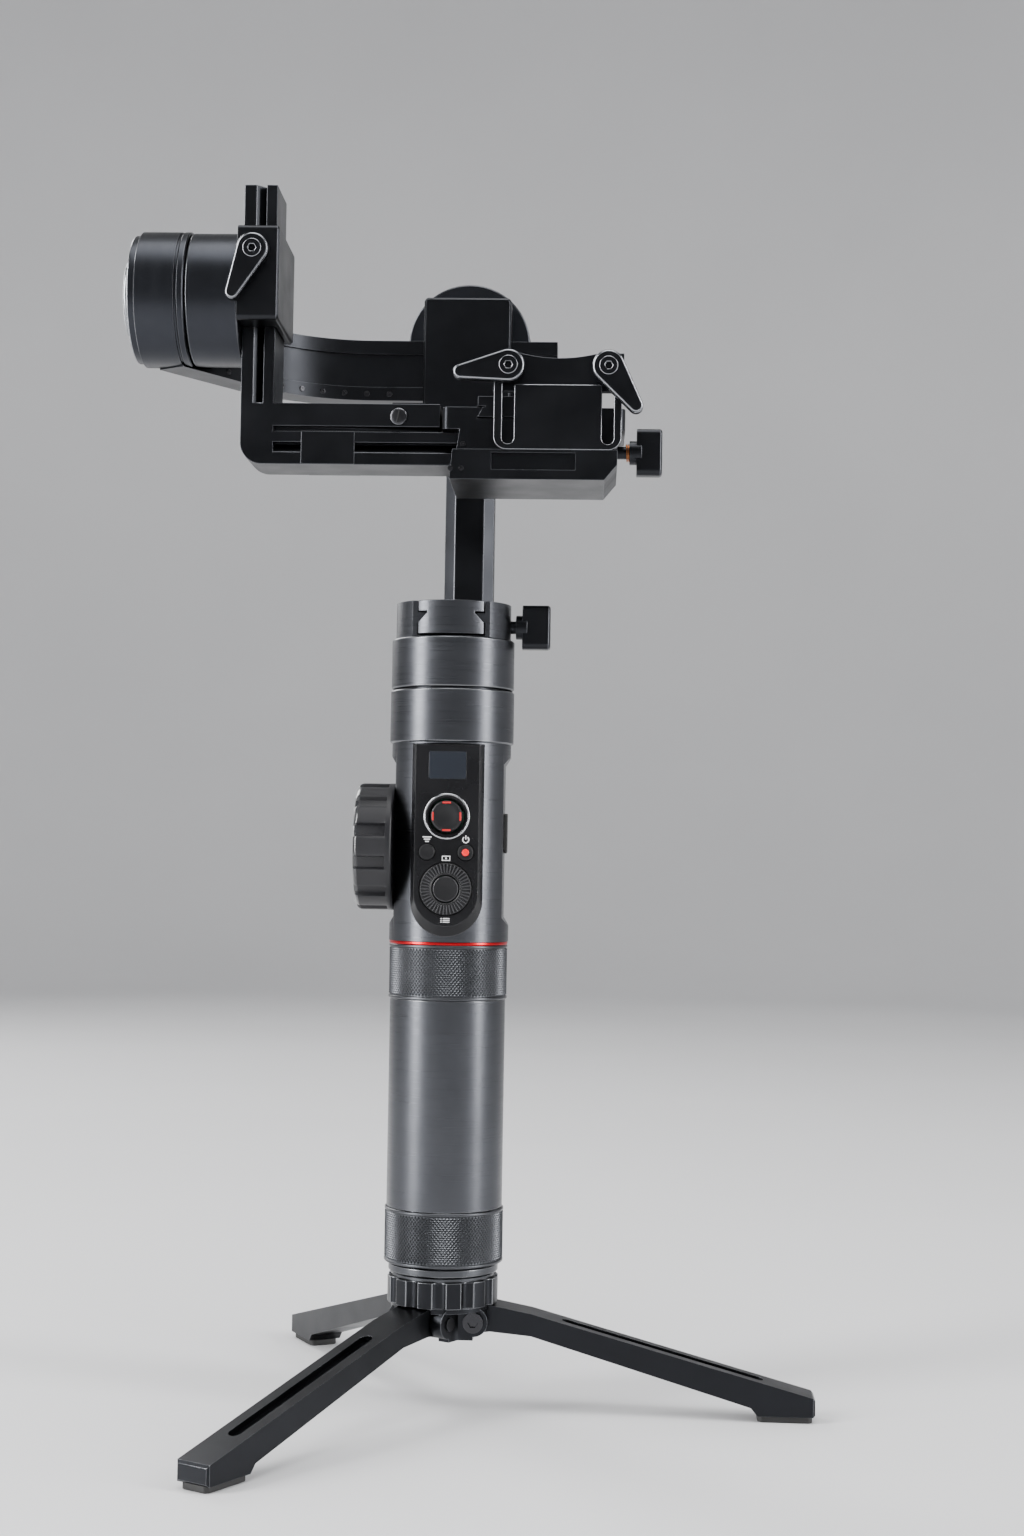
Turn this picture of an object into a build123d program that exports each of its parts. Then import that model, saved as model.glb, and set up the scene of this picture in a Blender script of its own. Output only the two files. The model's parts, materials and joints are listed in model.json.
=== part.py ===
from build123d import *
from math import cos, radians, sin, sqrt, tan
import os

os.makedirs("parts", exist_ok=True)

# Millimetres, +Z up. While it is drawn, the pan axis is x = 0, y = 0 and the table is z = 0.
# The control panel faces -Y and the tilt motor lies on the -X side.

# Clearances
run_gap = 0.05  # round shaft in its hole, on the radius
slide_gap = 0.3  # sliding or turning faces
button_gap = 0.3

# Tripod
hinge_z = 36.0
hinge_r = 13.0
pin_r = 2.5
pin_head_r = 3.9
lug_w = 5.0
leg_w = 14.4
leg_reach = 144.0
leg_end_top = 9.6
leg_foot_l = 22.0
pad_t = 2.5
pad_w = 12.0
knuckle_r = 5.6
hub_h = 13.0
hub_r = 20.0
collar_r = 21.5
collar_h = 10.0
collar_flutes = 12
stud_r = 3.175
stud_l = 14.0

# Handle
base_ring_r = 21.25
base_ring_h = 5.5
grip_r = 22.5
grip_wall = 2.0
grip_h = 80.5
knurl_r = 23.1
battery_cap_h = 21.0
knurl_ring_h = 21.2
red_ring_h = 1.2
body_r = 23.3
body_h = 76.6
body_bore_r = 18.5
body_deck = 4.0
waist_x = 21.0
waist_margin = 8.0
waist_slope = 4.5
cell_r = 9.1
cell_l = 65.0
holder_t = 3.4

# Control panel
panel_w = 27.7
panel_h = 74.0
panel_front = 24.0
panel_depth = 8.0
panel_plate = 2.5
panel_rim = 1.6
display_w = 14.5
display_h = 10.7
display_t = 0.8
display_drop = 8.4  # panel top to display centre
joystick_drop = 28.0
buttons_drop = 41.7
dial_drop = 55.7
joystick_hole_r = 7.0
joystick_ring_r = 8.9
joystick_cap_r = 6.1
stem_r = 1.8
buttons_x = 7.4
button_r = 3.0
button_press = 0.5
button_lip = button_press + 0.1
dial_r = 10.0
dial_button_r = 5.0
dial_sleeve = 0.9
board_y = 14.0
board_t = 1.6
board_w = 20.0

# Focus wheel and port cover
wheel_r = 24.75
wheel_w = 14.7
wheel_flange = 3.0
wheel_lobes = 12
wheel_recess_depth = 1.6
wheel_recess_r = 3.4
wheel_face_chamfer = 1.2
wheel_drop = 40.4  # body top to wheel axis
axle_r = 5.0
axle_flange_x = -14.6
axle_flange_t = 1.4
wheel_cap_t = 1.4
cover_w = 8.0
cover_h = 15.0
cover_t = 1.2
cover_pin_r = 0.5

# Motors
stator_r = 24.2
stator_h = 20.7
rotor_r = 24.0
rotor_h = 19.5
motor_gap = 0.5
shell_wall = 2.4
bearing_r = 8.0
shaft_r = 5.0
bearing_w = 4.0
stator_back = 1.2
groove_w = 0.8
groove_depth = 0.6
core_r = 17.8
magnet_r = 18.4
arm_motor_r = 26.5
arm_rotor_r = 26.0
arm_rotor_l = 20.4
arm_stator_l = 19.1

# Dovetail bars and clamps
bar_w = 25.5
bar_t = 13.0
bar_flange = 4.3
notch_depth = 3.5
notch_flat = 0.5
drum_r = 22.5
drum_floor = 1.0
drum_h = bar_t + drum_floor
drum_facet = 16.8
clamp_wall = 2.6
clamp_jaw = 6.0
lever_hub_r = 6.2
lever_l = 18.4
lever_tip_r = 2.8
lever_t = 4.4
lever_bolt_r = 2.0
lever_bolt_l = 5.6
clamp_h = 36.8
clamp_rise = 5.1
clamp_travel = 32.0

# Arms
yaw_arm_back = 109.0
post_w = 21.5
post_bevel_x = 4.6
post_bevel_y = 3.2
roll_axis_z = 433.0
roll_face_y = 73.3  # front face of the roll rotor
tilt_face_x = -84.5  # right face of the tilt rotor
roll_arm_end = 38.0
roll_arm_bend = 60.0
arm_channel_h = 14.0
arm_channel_d = 1.2
roll_arm_turn = 57.0  # degrees between the two straight runs
tilt_arm_top = 476.0
tilt_arm_bottom = 366.0
tilt_arm_end = -6.0
bridge_h = 9.0
rail_end = 32.0

# Camera base, plate and lens support
base_x0, base_x1 = -2.0, 63.0
block_x0, block_x1 = -5.0, 66.0
base_bottom = 358.0
step_z = 379.5
block_top = 388.0
base_front, base_back = -30.0, 18.0
block_front = -18.0
plate_front = -19.0
screw_y = 6.0
screw_head_r = 7.0
screw_head_t = 2.6
screw_neck_r = 2.6
screw_slot_l = 24.0
plate_skin = 3.2
plate_lean = 2.0
base_lead = 6.0
block_corner_r = 3.0
recess_x, recess_w, recess_h, recess_depth = 31.0, 32.0, 6.5, 2.5
bracket_corner_r = 5.0
cradle_round_r = 60.0
cradle_pad_w, cradle_pad_h = 26.0, 7.0
left_lever_rest, right_lever_rest = 188, -55
plate_w = 46.0
plate_l = 52.0
plate_t = 5.0
plate_x = 32.0
camera_screw_r = 3.175
camera_screw_l = 5.5
bracket_x0, bracket_x1 = 15.6, 64.4
bracket_y = -30.0
bracket_t = 3.5
bracket_foot_z = 369.5
bracket_mid_z = 394.5
slot_x = (21.1, 59.2)
slot_w = 4.6
slot_low = 374.0
cradle_bolt_z = 401.0
cradle_t = 3.0
cradle_lip = 3.6
cradle_h = 15.0
knob_shaft_r = 2.5
qr_axis_z = 373.8
rail_reach_limit = 56.0

# Heights of the stack, from the table up
hub_z = hinge_z - hub_h / 2 - 0.5
collar_z = hub_z + hub_h
base_ring_z = collar_z + collar_h
cap_z = base_ring_z + base_ring_h
grip_z = cap_z + battery_cap_h
knurl_z = grip_z + grip_h
red_z = knurl_z + knurl_ring_h
body_z = red_z + red_ring_h
stator_z = body_z + body_h
rotor_z = stator_z + stator_h + motor_gap
drum_z = rotor_z + rotor_h
wheel_z = stator_z - wheel_drop
panel_top = stator_z - 0.6
panel_z = panel_top - panel_h / 2
joystick_z = panel_top - joystick_drop
buttons_z = panel_top - buttons_drop
dial_z = panel_top - dial_drop
knob_z = drum_z + 5.6
plate_front_y = -panel_front + panel_plate  # back of the panel's front wall

leg_angles = {"a": -121.6, "b": -1.6, "c": 118.4}
pieces = {}


def keep(name, piece):
    """Names a finished piece and files it for export."""
    piece.label = name
    pieces[name] = piece


def front_plane(depth, x=0.0, z=0.0):
    """A plane across -Y at the given y, with its sketch x to the right and its sketch y up."""
    return Plane(origin=(x, depth, z), x_dir=(1, 0, 0), z_dir=(0, -1, 0))


def side_plane(x, y=0.0, z=0.0):
    """A plane facing +X, with its sketch x along +Y and its sketch y up."""
    return Plane(origin=(x, y, z), x_dir=(0, 1, 0), z_dir=(1, 0, 0))


def leg_plane(angle):
    """The upright plane through one leg: its sketch x runs outward along the leg, its sketch y up."""
    outward = (cos(radians(angle)), sin(radians(angle)), 0)
    return Plane(origin=(0, 0, 0), x_dir=outward, z_dir=(outward[1], -outward[0], 0))


def bar_section(gap=0.0):
    """The dovetail bar's section: flange at the top (y = 0), V notches, base below it."""
    half = bar_w / 2 + gap
    inner = half - notch_depth
    under = -bar_flange - gap
    slope = under - notch_flat + 0.7 * gap
    with BuildSketch(Plane.XY) as section:
        with BuildLine():
            Polyline(
                (half, gap), (half, under), (inner, under), (inner, slope),
                (half, slope - notch_depth), (half, -bar_t - gap),
                (-half, -bar_t - gap), (-half, slope - notch_depth),
                (-inner, slope), (-inner, under), (-half, under), (-half, gap),
                close=True,
            )
        make_face()
    return section.sketch


# ---- Tripod: hub, pins, legs, feet, collar ----

slot_half = leg_w / 2 + slide_gap
clevis_half = slot_half + lug_w
with BuildPart() as tripod_hub:
    with BuildSketch(Plane.XY.offset(hub_z)):
        Circle(hinge_r - knuckle_r + 4.0)
    extrude(amount=hub_h)
    with BuildSketch(Plane.XY.offset(collar_z - 2.0)):
        Circle(hub_r)
    extrude(amount=2.0)
    for angle in leg_angles.values():
        across = leg_plane(angle)
        with BuildSketch(across.offset(-clevis_half)):
            with Locations((hinge_r, hinge_z)):
                Circle(knuckle_r)
            with Locations((hinge_r / 2, hub_z + hub_h / 2)):
                Rectangle(hinge_r, hub_h)
        extrude(amount=2 * clevis_half)
    for angle in leg_angles.values():
        across = leg_plane(angle)
        with BuildSketch(across.offset(-slot_half)):
            with Locations((hinge_r - knuckle_r - 0.5 + hub_r, hub_z + hub_h / 2)):
                Rectangle(2 * hub_r, hub_h)
        extrude(amount=2 * slot_half, mode=Mode.SUBTRACT)
        with BuildSketch(across.offset(-clevis_half - 1)):
            with Locations((hinge_r, hinge_z)):
                Circle(pin_r)
        extrude(amount=2 * clevis_half + 2, mode=Mode.SUBTRACT)
keep("tripod_hub", tripod_hub.part)

with BuildPart() as leg_hinge_pins:
    for angle in leg_angles.values():
        across = leg_plane(angle)
        with BuildSketch(across.offset(-clevis_half - 0.8)):
            with Locations((hinge_r, hinge_z)):
                Circle(pin_r)
        extrude(amount=2 * clevis_half + 0.8)
        with BuildSketch(across.offset(clevis_half)):
            with Locations((hinge_r, hinge_z)):
                Circle(pin_head_r)
        extrude(amount=1.6)
        with BuildSketch(across.offset(clevis_half + 1.6)):
            with Locations((hinge_r, hinge_z)):
                RegularPolygon(2.0, 6)
        extrude(amount=-1.2, mode=Mode.SUBTRACT)
keep("leg_hinge_pins", leg_hinge_pins.part)


def make_leg(angle):
    """One leg, drawn in the upright plane through its own direction."""
    across = leg_plane(angle)
    leg_top = collar_z - slide_gap
    kink_r = hinge_r + 22.0
    kink_z = leg_top - 3.0
    with BuildPart() as leg:
        with BuildSketch(across.offset(-leg_w / 2)):
            with BuildLine():
                Polyline(
                    (hinge_r - 1.0, hinge_z + knuckle_r - 0.2),
                    (hinge_r + 6.0, leg_top),
                    (kink_r, kink_z),
                    (leg_reach, leg_end_top),
                    (leg_reach, pad_t),
                    (leg_reach - leg_foot_l, pad_t),
                    (leg_reach - leg_foot_l - 2.5, pad_t + 3.0),
                    (kink_r, kink_z - 8.5),
                    (hinge_r + 6.0, hinge_z - 4.4),
                    (hinge_r - 1.0, hinge_z - knuckle_r + 0.2),
                    close=True,
                )
            make_face()
            with Locations((hinge_r, hinge_z)):
                Circle(knuckle_r)
        extrude(amount=leg_w)
        slope = Plane(origin=(kink_r * cos(radians(angle)), kink_r * sin(radians(angle)), kink_z),
                      x_dir=((leg_reach - kink_r) * cos(radians(angle)),
                             (leg_reach - kink_r) * sin(radians(angle)), leg_end_top - kink_z),
                      z_dir=((kink_z - leg_end_top) * cos(radians(angle)),
                             (kink_z - leg_end_top) * sin(radians(angle)), leg_reach - kink_r))
        with BuildSketch(slope):
            with Locations((0.46 * leg_reach - 14.0, 0)):
                SlotOverall(0.56 * leg_reach, 5.2)
        extrude(amount=-2.2, mode=Mode.SUBTRACT)
        with BuildSketch(across.offset(-leg_w / 2 - 1)):
            with Locations((hinge_r, hinge_z)):
                Circle(pin_r + run_gap)
        extrude(amount=leg_w + 2, mode=Mode.SUBTRACT)
        end_edges = leg.edges().filter_by(GeomType.LINE).sort_by(
            lambda e: (e.center().X ** 2 + e.center().Y ** 2))[-4:]
        chamfer(end_edges, 0.8)
    return leg.part


def make_foot(angle):
    """The rubber pad under one leg's end."""
    along = Plane(origin=(0, 0, 0), x_dir=(cos(radians(angle)), sin(radians(angle)), 0), z_dir=(0, 0, 1))
    with BuildPart() as foot:
        with BuildSketch(along):
            with Locations((leg_reach - leg_foot_l / 2 - 0.5, 0)):
                RectangleRounded(leg_foot_l - 1.0, pad_w, 2.0)
        extrude(amount=pad_t)
    return foot.part


for letter, angle in leg_angles.items():
    keep(f"leg_{letter}", make_leg(angle))
    keep(f"foot_{letter}", make_foot(angle))

with BuildPart() as tripod_collar:
    with BuildSketch(Plane.XY.offset(collar_z)):
        Circle(collar_r)
        with PolarLocations(collar_r + 1.6, collar_flutes):
            Circle(3.2, mode=Mode.SUBTRACT)
    extrude(amount=collar_h)
    with BuildSketch(Plane.XY.offset(base_ring_z)):
        Circle(stud_r)
    extrude(amount=stud_l)
keep("tripod_collar", tripod_collar.part)

# ---- Handle: rings, grip, battery, control body ----

with BuildPart() as base_ring:
    with BuildSketch(Plane.XY.offset(base_ring_z)):
        Circle(base_ring_r)
        Circle(stud_r, mode=Mode.SUBTRACT)
    extrude(amount=base_ring_h)
    chamfer(base_ring.edges().filter_by(GeomType.CIRCLE).sort_by(Axis.Z)[0], 0.6)
keep("base_ring", base_ring.part)

with BuildPart() as battery_cap:
    with BuildSketch(Plane.XY.offset(cap_z)):
        Circle(knurl_r)
    extrude(amount=battery_cap_h)
    with BuildSketch(Plane.XY.offset(cap_z)):
        Circle(stud_r)
    extrude(amount=stud_l - base_ring_h, mode=Mode.SUBTRACT)
    with BuildSketch(Plane.XY.offset(grip_z)):
        Circle(grip_r - grip_wall)
    extrude(amount=-battery_cap_h + stud_l - base_ring_h + 3.0, mode=Mode.SUBTRACT)
    chamfer(battery_cap.faces().sort_by(Axis.Z)[0].edges().sort_by(SortBy.RADIUS)[-1], 0.7)
keep("battery_cap", battery_cap.part)

with BuildPart() as grip_tube:
    with BuildSketch(Plane.XY.offset(grip_z)):
        Circle(grip_r)
        Circle(grip_r - grip_wall, mode=Mode.SUBTRACT)
    extrude(amount=grip_h)
keep("grip_tube", grip_tube.part)

cell_ring = (cell_r + 0.1) * 2 / sqrt(3)
cell_z = grip_z + (grip_h - cell_l) / 2
with BuildPart() as battery_cells:
    with BuildSketch(Plane.XY.offset(cell_z)):
        with PolarLocations(cell_ring, 3):
            Circle(cell_r)
    extrude(amount=cell_l)
keep("battery_cells", battery_cells.part)

with BuildPart() as battery_holder:
    for z in (cell_z - holder_t, cell_z + cell_l):
        with BuildSketch(Plane.XY.offset(z)):
            Circle(grip_r - grip_wall - slide_gap)
        extrude(amount=holder_t)
    with BuildSketch(Plane.XY.offset(cell_z)):
        with PolarLocations(cell_ring + cell_r - 2.6, 3, start_angle=60):
            Circle(1.8)
    extrude(amount=cell_l)
keep("battery_holder", battery_holder.part)

with BuildPart() as upper_knurl_ring:
    with BuildSketch(Plane.XY.offset(knurl_z)):
        Circle(knurl_r)
        Circle(grip_r - grip_wall, mode=Mode.SUBTRACT)
    extrude(amount=knurl_ring_h)
keep("upper_knurl_ring", upper_knurl_ring.part)

with BuildPart() as red_ring:
    with BuildSketch(Plane.XY.offset(red_z)):
        Circle(body_r - 0.2)
        Circle(body_bore_r, mode=Mode.SUBTRACT)
    extrude(amount=red_ring_h)
keep("red_ring", red_ring.part)


def panel_section(inset=0.0):
    """The panel's outline about its own centre: square shoulders and a round lower end."""
    half = panel_w / 2 - inset
    high = panel_h / 2 - inset
    low = -high + half
    with BuildSketch(Plane.XY) as section:
        with BuildLine():
            Polyline((-half, low), (-half, high), (half, high), (half, low))
            ThreePointArc((half, low), (0, -high), (-half, low))
        make_face()
    return section.sketch


waist_low = wheel_z - wheel_r - 2.2
waist_high = stator_z - waist_margin
port_z = wheel_z + 6.0
with BuildPart() as handle_body:
    with BuildSketch(Plane.XY.offset(body_z)):
        Circle(body_r)
    extrude(amount=body_h)
    for side in (-1, 1):
        with BuildSketch(front_plane(-body_r - 1)):
            with BuildLine():
                Polyline(
                    (side * (body_r + 1), waist_low - waist_slope),
                    (side * waist_x, waist_low),
                    (side * waist_x, waist_high),
                    (side * (body_r + 1), waist_high + waist_slope),
                    close=True,
                )
            make_face()
        extrude(amount=-2 * body_r - 2, mode=Mode.SUBTRACT)
    with BuildSketch(Plane.XY.offset(body_z)):
        Circle(body_bore_r)
    extrude(amount=body_h - body_deck, mode=Mode.SUBTRACT)
    with BuildSketch(front_plane(-panel_front - 1, 0, panel_z)):
        add(panel_section())
    extrude(amount=-(1 + panel_depth), mode=Mode.SUBTRACT)
    with BuildSketch(side_plane(-body_r, 0, wheel_z)):
        Circle(axle_r)
    extrude(amount=8, mode=Mode.SUBTRACT)
    with BuildSketch(side_plane(body_r, 0, port_z)):
        with Locations((0, 3.2), (0, -3.2)):
            SlotOverall(5.0, 2.4)
    extrude(amount=-8, mode=Mode.SUBTRACT)
    with BuildSketch(Plane.XY.offset(stator_z - body_deck)):
        Circle(shaft_r + 1.5)
    extrude(amount=body_deck, mode=Mode.SUBTRACT)
keep("handle_body", handle_body.part)

with BuildPart() as control_panel:
    with BuildSketch(front_plane(-panel_front, 0, panel_z)):
        add(panel_section())
    extrude(amount=-panel_depth)
    chamfer(control_panel.faces().sort_by(Axis.Y)[0].edges(), 0.7)
    with BuildSketch(front_plane(-panel_front + panel_depth, 0, panel_z)):
        add(panel_section(panel_rim))
    extrude(amount=panel_depth - panel_plate, mode=Mode.SUBTRACT)
    with BuildSketch(front_plane(-panel_front, 0, panel_top - display_drop)):
        RectangleRounded(display_w, display_h, 0.6)
    extrude(amount=-display_t, mode=Mode.SUBTRACT)
    with BuildSketch(front_plane(-panel_front, 0, joystick_z)):
        Circle(joystick_ring_r)
    extrude(amount=-1.4, mode=Mode.SUBTRACT)
    with BuildSketch(front_plane(-panel_front, 0, joystick_z)):
        Circle(joystick_hole_r)
    extrude(amount=-panel_plate, mode=Mode.SUBTRACT)
    with BuildSketch(front_plane(-panel_front, 0, buttons_z)):
        with Locations((-buttons_x, 0), (buttons_x, 0)):
            Circle(button_r + button_gap / 2)
    extrude(amount=-panel_plate, mode=Mode.SUBTRACT)
    with BuildSketch(front_plane(-panel_front, 0, dial_z)):
        Circle(dial_r + slide_gap)
    extrude(amount=-1.0, mode=Mode.SUBTRACT)
    with BuildSketch(front_plane(-panel_front, 0, dial_z)):
        Circle(dial_button_r + dial_sleeve + button_gap + slide_gap)
    extrude(amount=-panel_plate, mode=Mode.SUBTRACT)
keep("control_panel", control_panel.part)

with BuildPart() as display_window:
    with BuildSketch(front_plane(-panel_front, 0, panel_top - display_drop)):
        RectangleRounded(display_w, display_h, 0.6)
    extrude(amount=-display_t)
keep("display_window", display_window.part)

with BuildPart() as joystick_ring:
    with BuildSketch(front_plane(-panel_front - 0.6, 0, joystick_z)):
        Circle(joystick_ring_r)
        Circle(joystick_hole_r, mode=Mode.SUBTRACT)
    extrude(amount=-2.0)
    chamfer(joystick_ring.faces().sort_by(Axis.Y)[0].edges(), 0.4)
keep("joystick_ring", joystick_ring.part)

# The stick turns in a small ring, and the ring turns in a yoke on the main board.
stick_y = -19.0
yoke_half = 5.6
with BuildPart() as joystick_cap:
    with BuildSketch(front_plane(-panel_front - 1.4, 0, joystick_z)):
        Circle(joystick_cap_r)
    extrude(amount=-2.0)
    chamfer(joystick_cap.faces().sort_by(Axis.Y)[0].edges(), 0.5)
    with BuildSketch(front_plane(-panel_front + 0.6, 0, joystick_z)):
        Circle(stem_r)
    extrude(amount=-(panel_front + stick_y + 0.6))
    with BuildSketch(Plane.XY.offset(joystick_z - 3.4)):
        with Locations((0, stick_y)):
            Circle(0.8)
    extrude(amount=6.8)
keep("joystick_cap", joystick_cap.part)

with BuildPart() as joystick_gimbal:
    with BuildSketch(front_plane(stick_y - 1.2, 0, joystick_z)):
        Circle(4.2)
        Circle(2.7, mode=Mode.SUBTRACT)
    extrude(amount=-2.4)
    with BuildSketch(Plane.XY.offset(joystick_z - 5)):
        with Locations((0, stick_y)):
            Circle(0.8 + run_gap)
    extrude(amount=10, mode=Mode.SUBTRACT)
    for side in (-1, 1):
        with BuildSketch(side_plane(side * 3.6, stick_y, joystick_z)):
            Circle(0.8)
        extrude(amount=side * 2.6)
keep("joystick_gimbal", joystick_gimbal.part)

with BuildPart() as main_board:
    with BuildSketch(front_plane(-board_y, 0, (joystick_z + dial_z) / 2)):
        Rectangle(board_w, joystick_z - dial_z + 26)
    extrude(amount=-board_t)
    with BuildSketch(front_plane(-board_y, 0, joystick_z)):
        with Locations((-yoke_half, 0), (yoke_half, 0)):
            Rectangle(1.8, 4.0)
    extrude(amount=-stick_y - board_y + 1.6)
    with BuildSketch(side_plane(-yoke_half - 2, stick_y, joystick_z)):
        Circle(0.8 + run_gap)
    extrude(amount=2 * yoke_half + 4, mode=Mode.SUBTRACT)
keep("main_board", main_board.part)

for name, x in (("mode_button", -buttons_x), ("power_button", buttons_x)):
    with BuildPart() as push_button:
        with BuildSketch(front_plane(-panel_front - button_lip, x, buttons_z)):
            Circle(button_r)
        extrude(amount=-(panel_plate + button_lip + 0.8))
        with BuildSketch(front_plane(plate_front_y + slide_gap, x, buttons_z)):
            Circle(button_r + 0.6)
        extrude(amount=-0.8)
        chamfer(push_button.faces().sort_by(Axis.Y)[0].edges(), 0.25)
    keep(name, push_button.part)

with BuildPart() as control_dial:
    with BuildSketch(front_plane(-panel_front - 0.9, 0, dial_z)):
        Circle(dial_r)
        Circle(dial_button_r + button_gap, mode=Mode.SUBTRACT)
    extrude(amount=-1.6)
    chamfer(control_dial.faces().sort_by(Axis.Y)[0].edges().sort_by(SortBy.RADIUS)[-1], 0.5)
    with BuildSketch(front_plane(-panel_front + 0.7, 0, dial_z)):
        Circle(dial_button_r + button_gap + dial_sleeve)
        Circle(dial_button_r + button_gap, mode=Mode.SUBTRACT)
    extrude(amount=-3.0)
keep("control_dial", control_dial.part)

with BuildPart() as dial_button:
    with BuildSketch(front_plane(-panel_front - 1.0, 0, dial_z)):
        Circle(dial_button_r)
    extrude(amount=-4.5)
    chamfer(dial_button.faces().sort_by(Axis.Y)[0].edges(), 0.4)
keep("dial_button", dial_button.part)

wheel_x = -waist_x - slide_gap
with BuildPart() as focus_wheel:
    with BuildSketch(side_plane(wheel_x, 0, wheel_z)):
        Circle(wheel_r)
    extrude(amount=-wheel_w)
    chamfer(focus_wheel.edges().filter_by(GeomType.CIRCLE).sort_by(Axis.X)[0], wheel_face_chamfer)
    with BuildSketch(side_plane(wheel_x - wheel_flange, 0, wheel_z)):
        with PolarLocations(wheel_r + wheel_recess_r - wheel_recess_depth, wheel_lobes, start_angle=15):
            Circle(wheel_recess_r)
    extrude(amount=-wheel_w, mode=Mode.SUBTRACT)
    with BuildSketch(side_plane(wheel_x, 0, wheel_z)):
        Circle(axle_r + run_gap)
    extrude(amount=-wheel_w + wheel_cap_t, mode=Mode.SUBTRACT)
keep("focus_wheel", focus_wheel.part)

with BuildPart() as focus_wheel_axle:
    with BuildSketch(side_plane(axle_flange_x, 0, wheel_z)):
        Circle(axle_r + 2.0)
    extrude(amount=-axle_flange_t)
    with BuildSketch(side_plane(axle_flange_x, 0, wheel_z)):
        Circle(axle_r)
    extrude(amount=wheel_x - wheel_w + wheel_cap_t + slide_gap - axle_flange_x)
keep("focus_wheel_axle", focus_wheel_axle.part)

cover_foot = port_z - cover_h / 2
cover_hinge_x = waist_x + slide_gap / 2 + cover_t / 2
with BuildPart() as port_cover:
    with BuildSketch(side_plane(waist_x + slide_gap / 2, 0, port_z)):
        RectangleRounded(cover_w, cover_h, 1.2)
    extrude(amount=cover_t)
    with BuildSketch(front_plane(-cover_w / 2, cover_hinge_x, cover_foot)):
        Circle(cover_pin_r)
    extrude(amount=-cover_w)
keep("port_cover", port_cover.part)

# ---- Motors ----


def make_stator(base, radius, length, groove_at=0.0):
    """A cup with a centre tube that holds the bearings; its mouth faces along the plane."""
    with BuildPart() as stator:
        with BuildSketch(base):
            Circle(radius)
        extrude(amount=length)
        if groove_at:
            with BuildSketch(base.offset(groove_at)):
                Circle(radius)
                Circle(radius - groove_depth, mode=Mode.SUBTRACT)
            extrude(amount=groove_w, mode=Mode.SUBTRACT)
        with BuildSketch(base.offset(3.0)):
            Circle(radius - shell_wall)
            Circle(bearing_r + 1.4, mode=Mode.SUBTRACT)
        extrude(amount=length, mode=Mode.SUBTRACT)
        with BuildSketch(base.offset(stator_back)):
            Circle(bearing_r)
        extrude(amount=length, mode=Mode.SUBTRACT)
        outer = stator.faces().filter_by(Plane(base.origin, z_dir=base.z_dir)).edges()
        chamfer(outer.filter_by(GeomType.CIRCLE).sort_by(SortBy.RADIUS)[-2:], 0.5)
    return stator.part


def make_core(base, length):
    """The winding stack: a ring with twelve slots round the centre tube."""
    with BuildPart() as core:
        with BuildSketch(base.offset(5.0)):
            Circle(core_r)
            Circle(bearing_r + 1.4, mode=Mode.SUBTRACT)
            with PolarLocations(core_r - 2.4, 12):
                Rectangle(6.0, 2.2, mode=Mode.SUBTRACT)
        extrude(amount=length - 9.0)
    return core.part


def make_bearings(base, length):
    """Two plain rings, one at each end of the centre tube."""
    with BuildPart() as bearings:
        for depth in (stator_back, length - bearing_w):
            with BuildSketch(base.offset(depth)):
                Circle(bearing_r)
                Circle(shaft_r + run_gap, mode=Mode.SUBTRACT)
            extrude(amount=bearing_w)
    return bearings.part


def make_rotor(base, radius, length, reach):
    """The turning half: a thick disc, a magnet skirt and the shaft through the bearings."""
    with BuildPart() as rotor:
        with BuildSketch(base):
            Circle(radius)
        extrude(amount=length)
        with BuildSketch(base):
            Circle(radius - shell_wall - motor_gap)
            Circle(magnet_r, mode=Mode.SUBTRACT)
        extrude(amount=-reach + 6.0)
        with BuildSketch(base):
            Circle(shaft_r)
        extrude(amount=-reach + stator_back + motor_gap)
        ends = rotor.edges().filter_by(GeomType.CIRCLE).sort_by(SortBy.RADIUS)[-2:]
        chamfer(ends, 0.5)
    return rotor.part


yaw_base = Plane.XY.offset(stator_z)
keep("yaw_stator_housing", make_stator(yaw_base, stator_r, stator_h))
keep("yaw_stator_core", make_core(yaw_base, stator_h))
keep("yaw_bearings", make_bearings(yaw_base, stator_h))
yaw_rotor = Plane.XY.offset(rotor_z)
keep("yaw_rotor_housing", make_rotor(yaw_rotor, rotor_r, rotor_h, stator_h + motor_gap))

roll_back_y = roll_face_y + arm_rotor_l + motor_gap + arm_stator_l
roll_base = front_plane(roll_back_y, 0, roll_axis_z)
keep("roll_stator_housing", make_stator(roll_base, arm_motor_r, arm_stator_l))
keep("roll_stator_core", make_core(roll_base, arm_stator_l))
keep("roll_bearings", make_bearings(roll_base, arm_stator_l))
roll_rotor = front_plane(roll_face_y + arm_rotor_l, 0, roll_axis_z)
keep("roll_rotor_housing", make_rotor(roll_rotor, arm_rotor_r, arm_rotor_l, arm_stator_l + motor_gap))

tilt_back_x = tilt_face_x - arm_rotor_l - motor_gap - arm_stator_l
tilt_base = side_plane(tilt_back_x, 0, roll_axis_z)
tilt_groove = 0.8 * arm_stator_l
keep("tilt_stator_housing", make_stator(tilt_base, arm_motor_r, arm_stator_l, tilt_groove))
keep("tilt_stator_core", make_core(tilt_base, arm_stator_l))
keep("tilt_bearings", make_bearings(tilt_base, arm_stator_l))
tilt_rotor = side_plane(tilt_face_x - arm_rotor_l, 0, roll_axis_z)
keep("tilt_rotor_housing", make_rotor(tilt_rotor, arm_rotor_r, arm_rotor_l, arm_stator_l + motor_gap))

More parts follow.
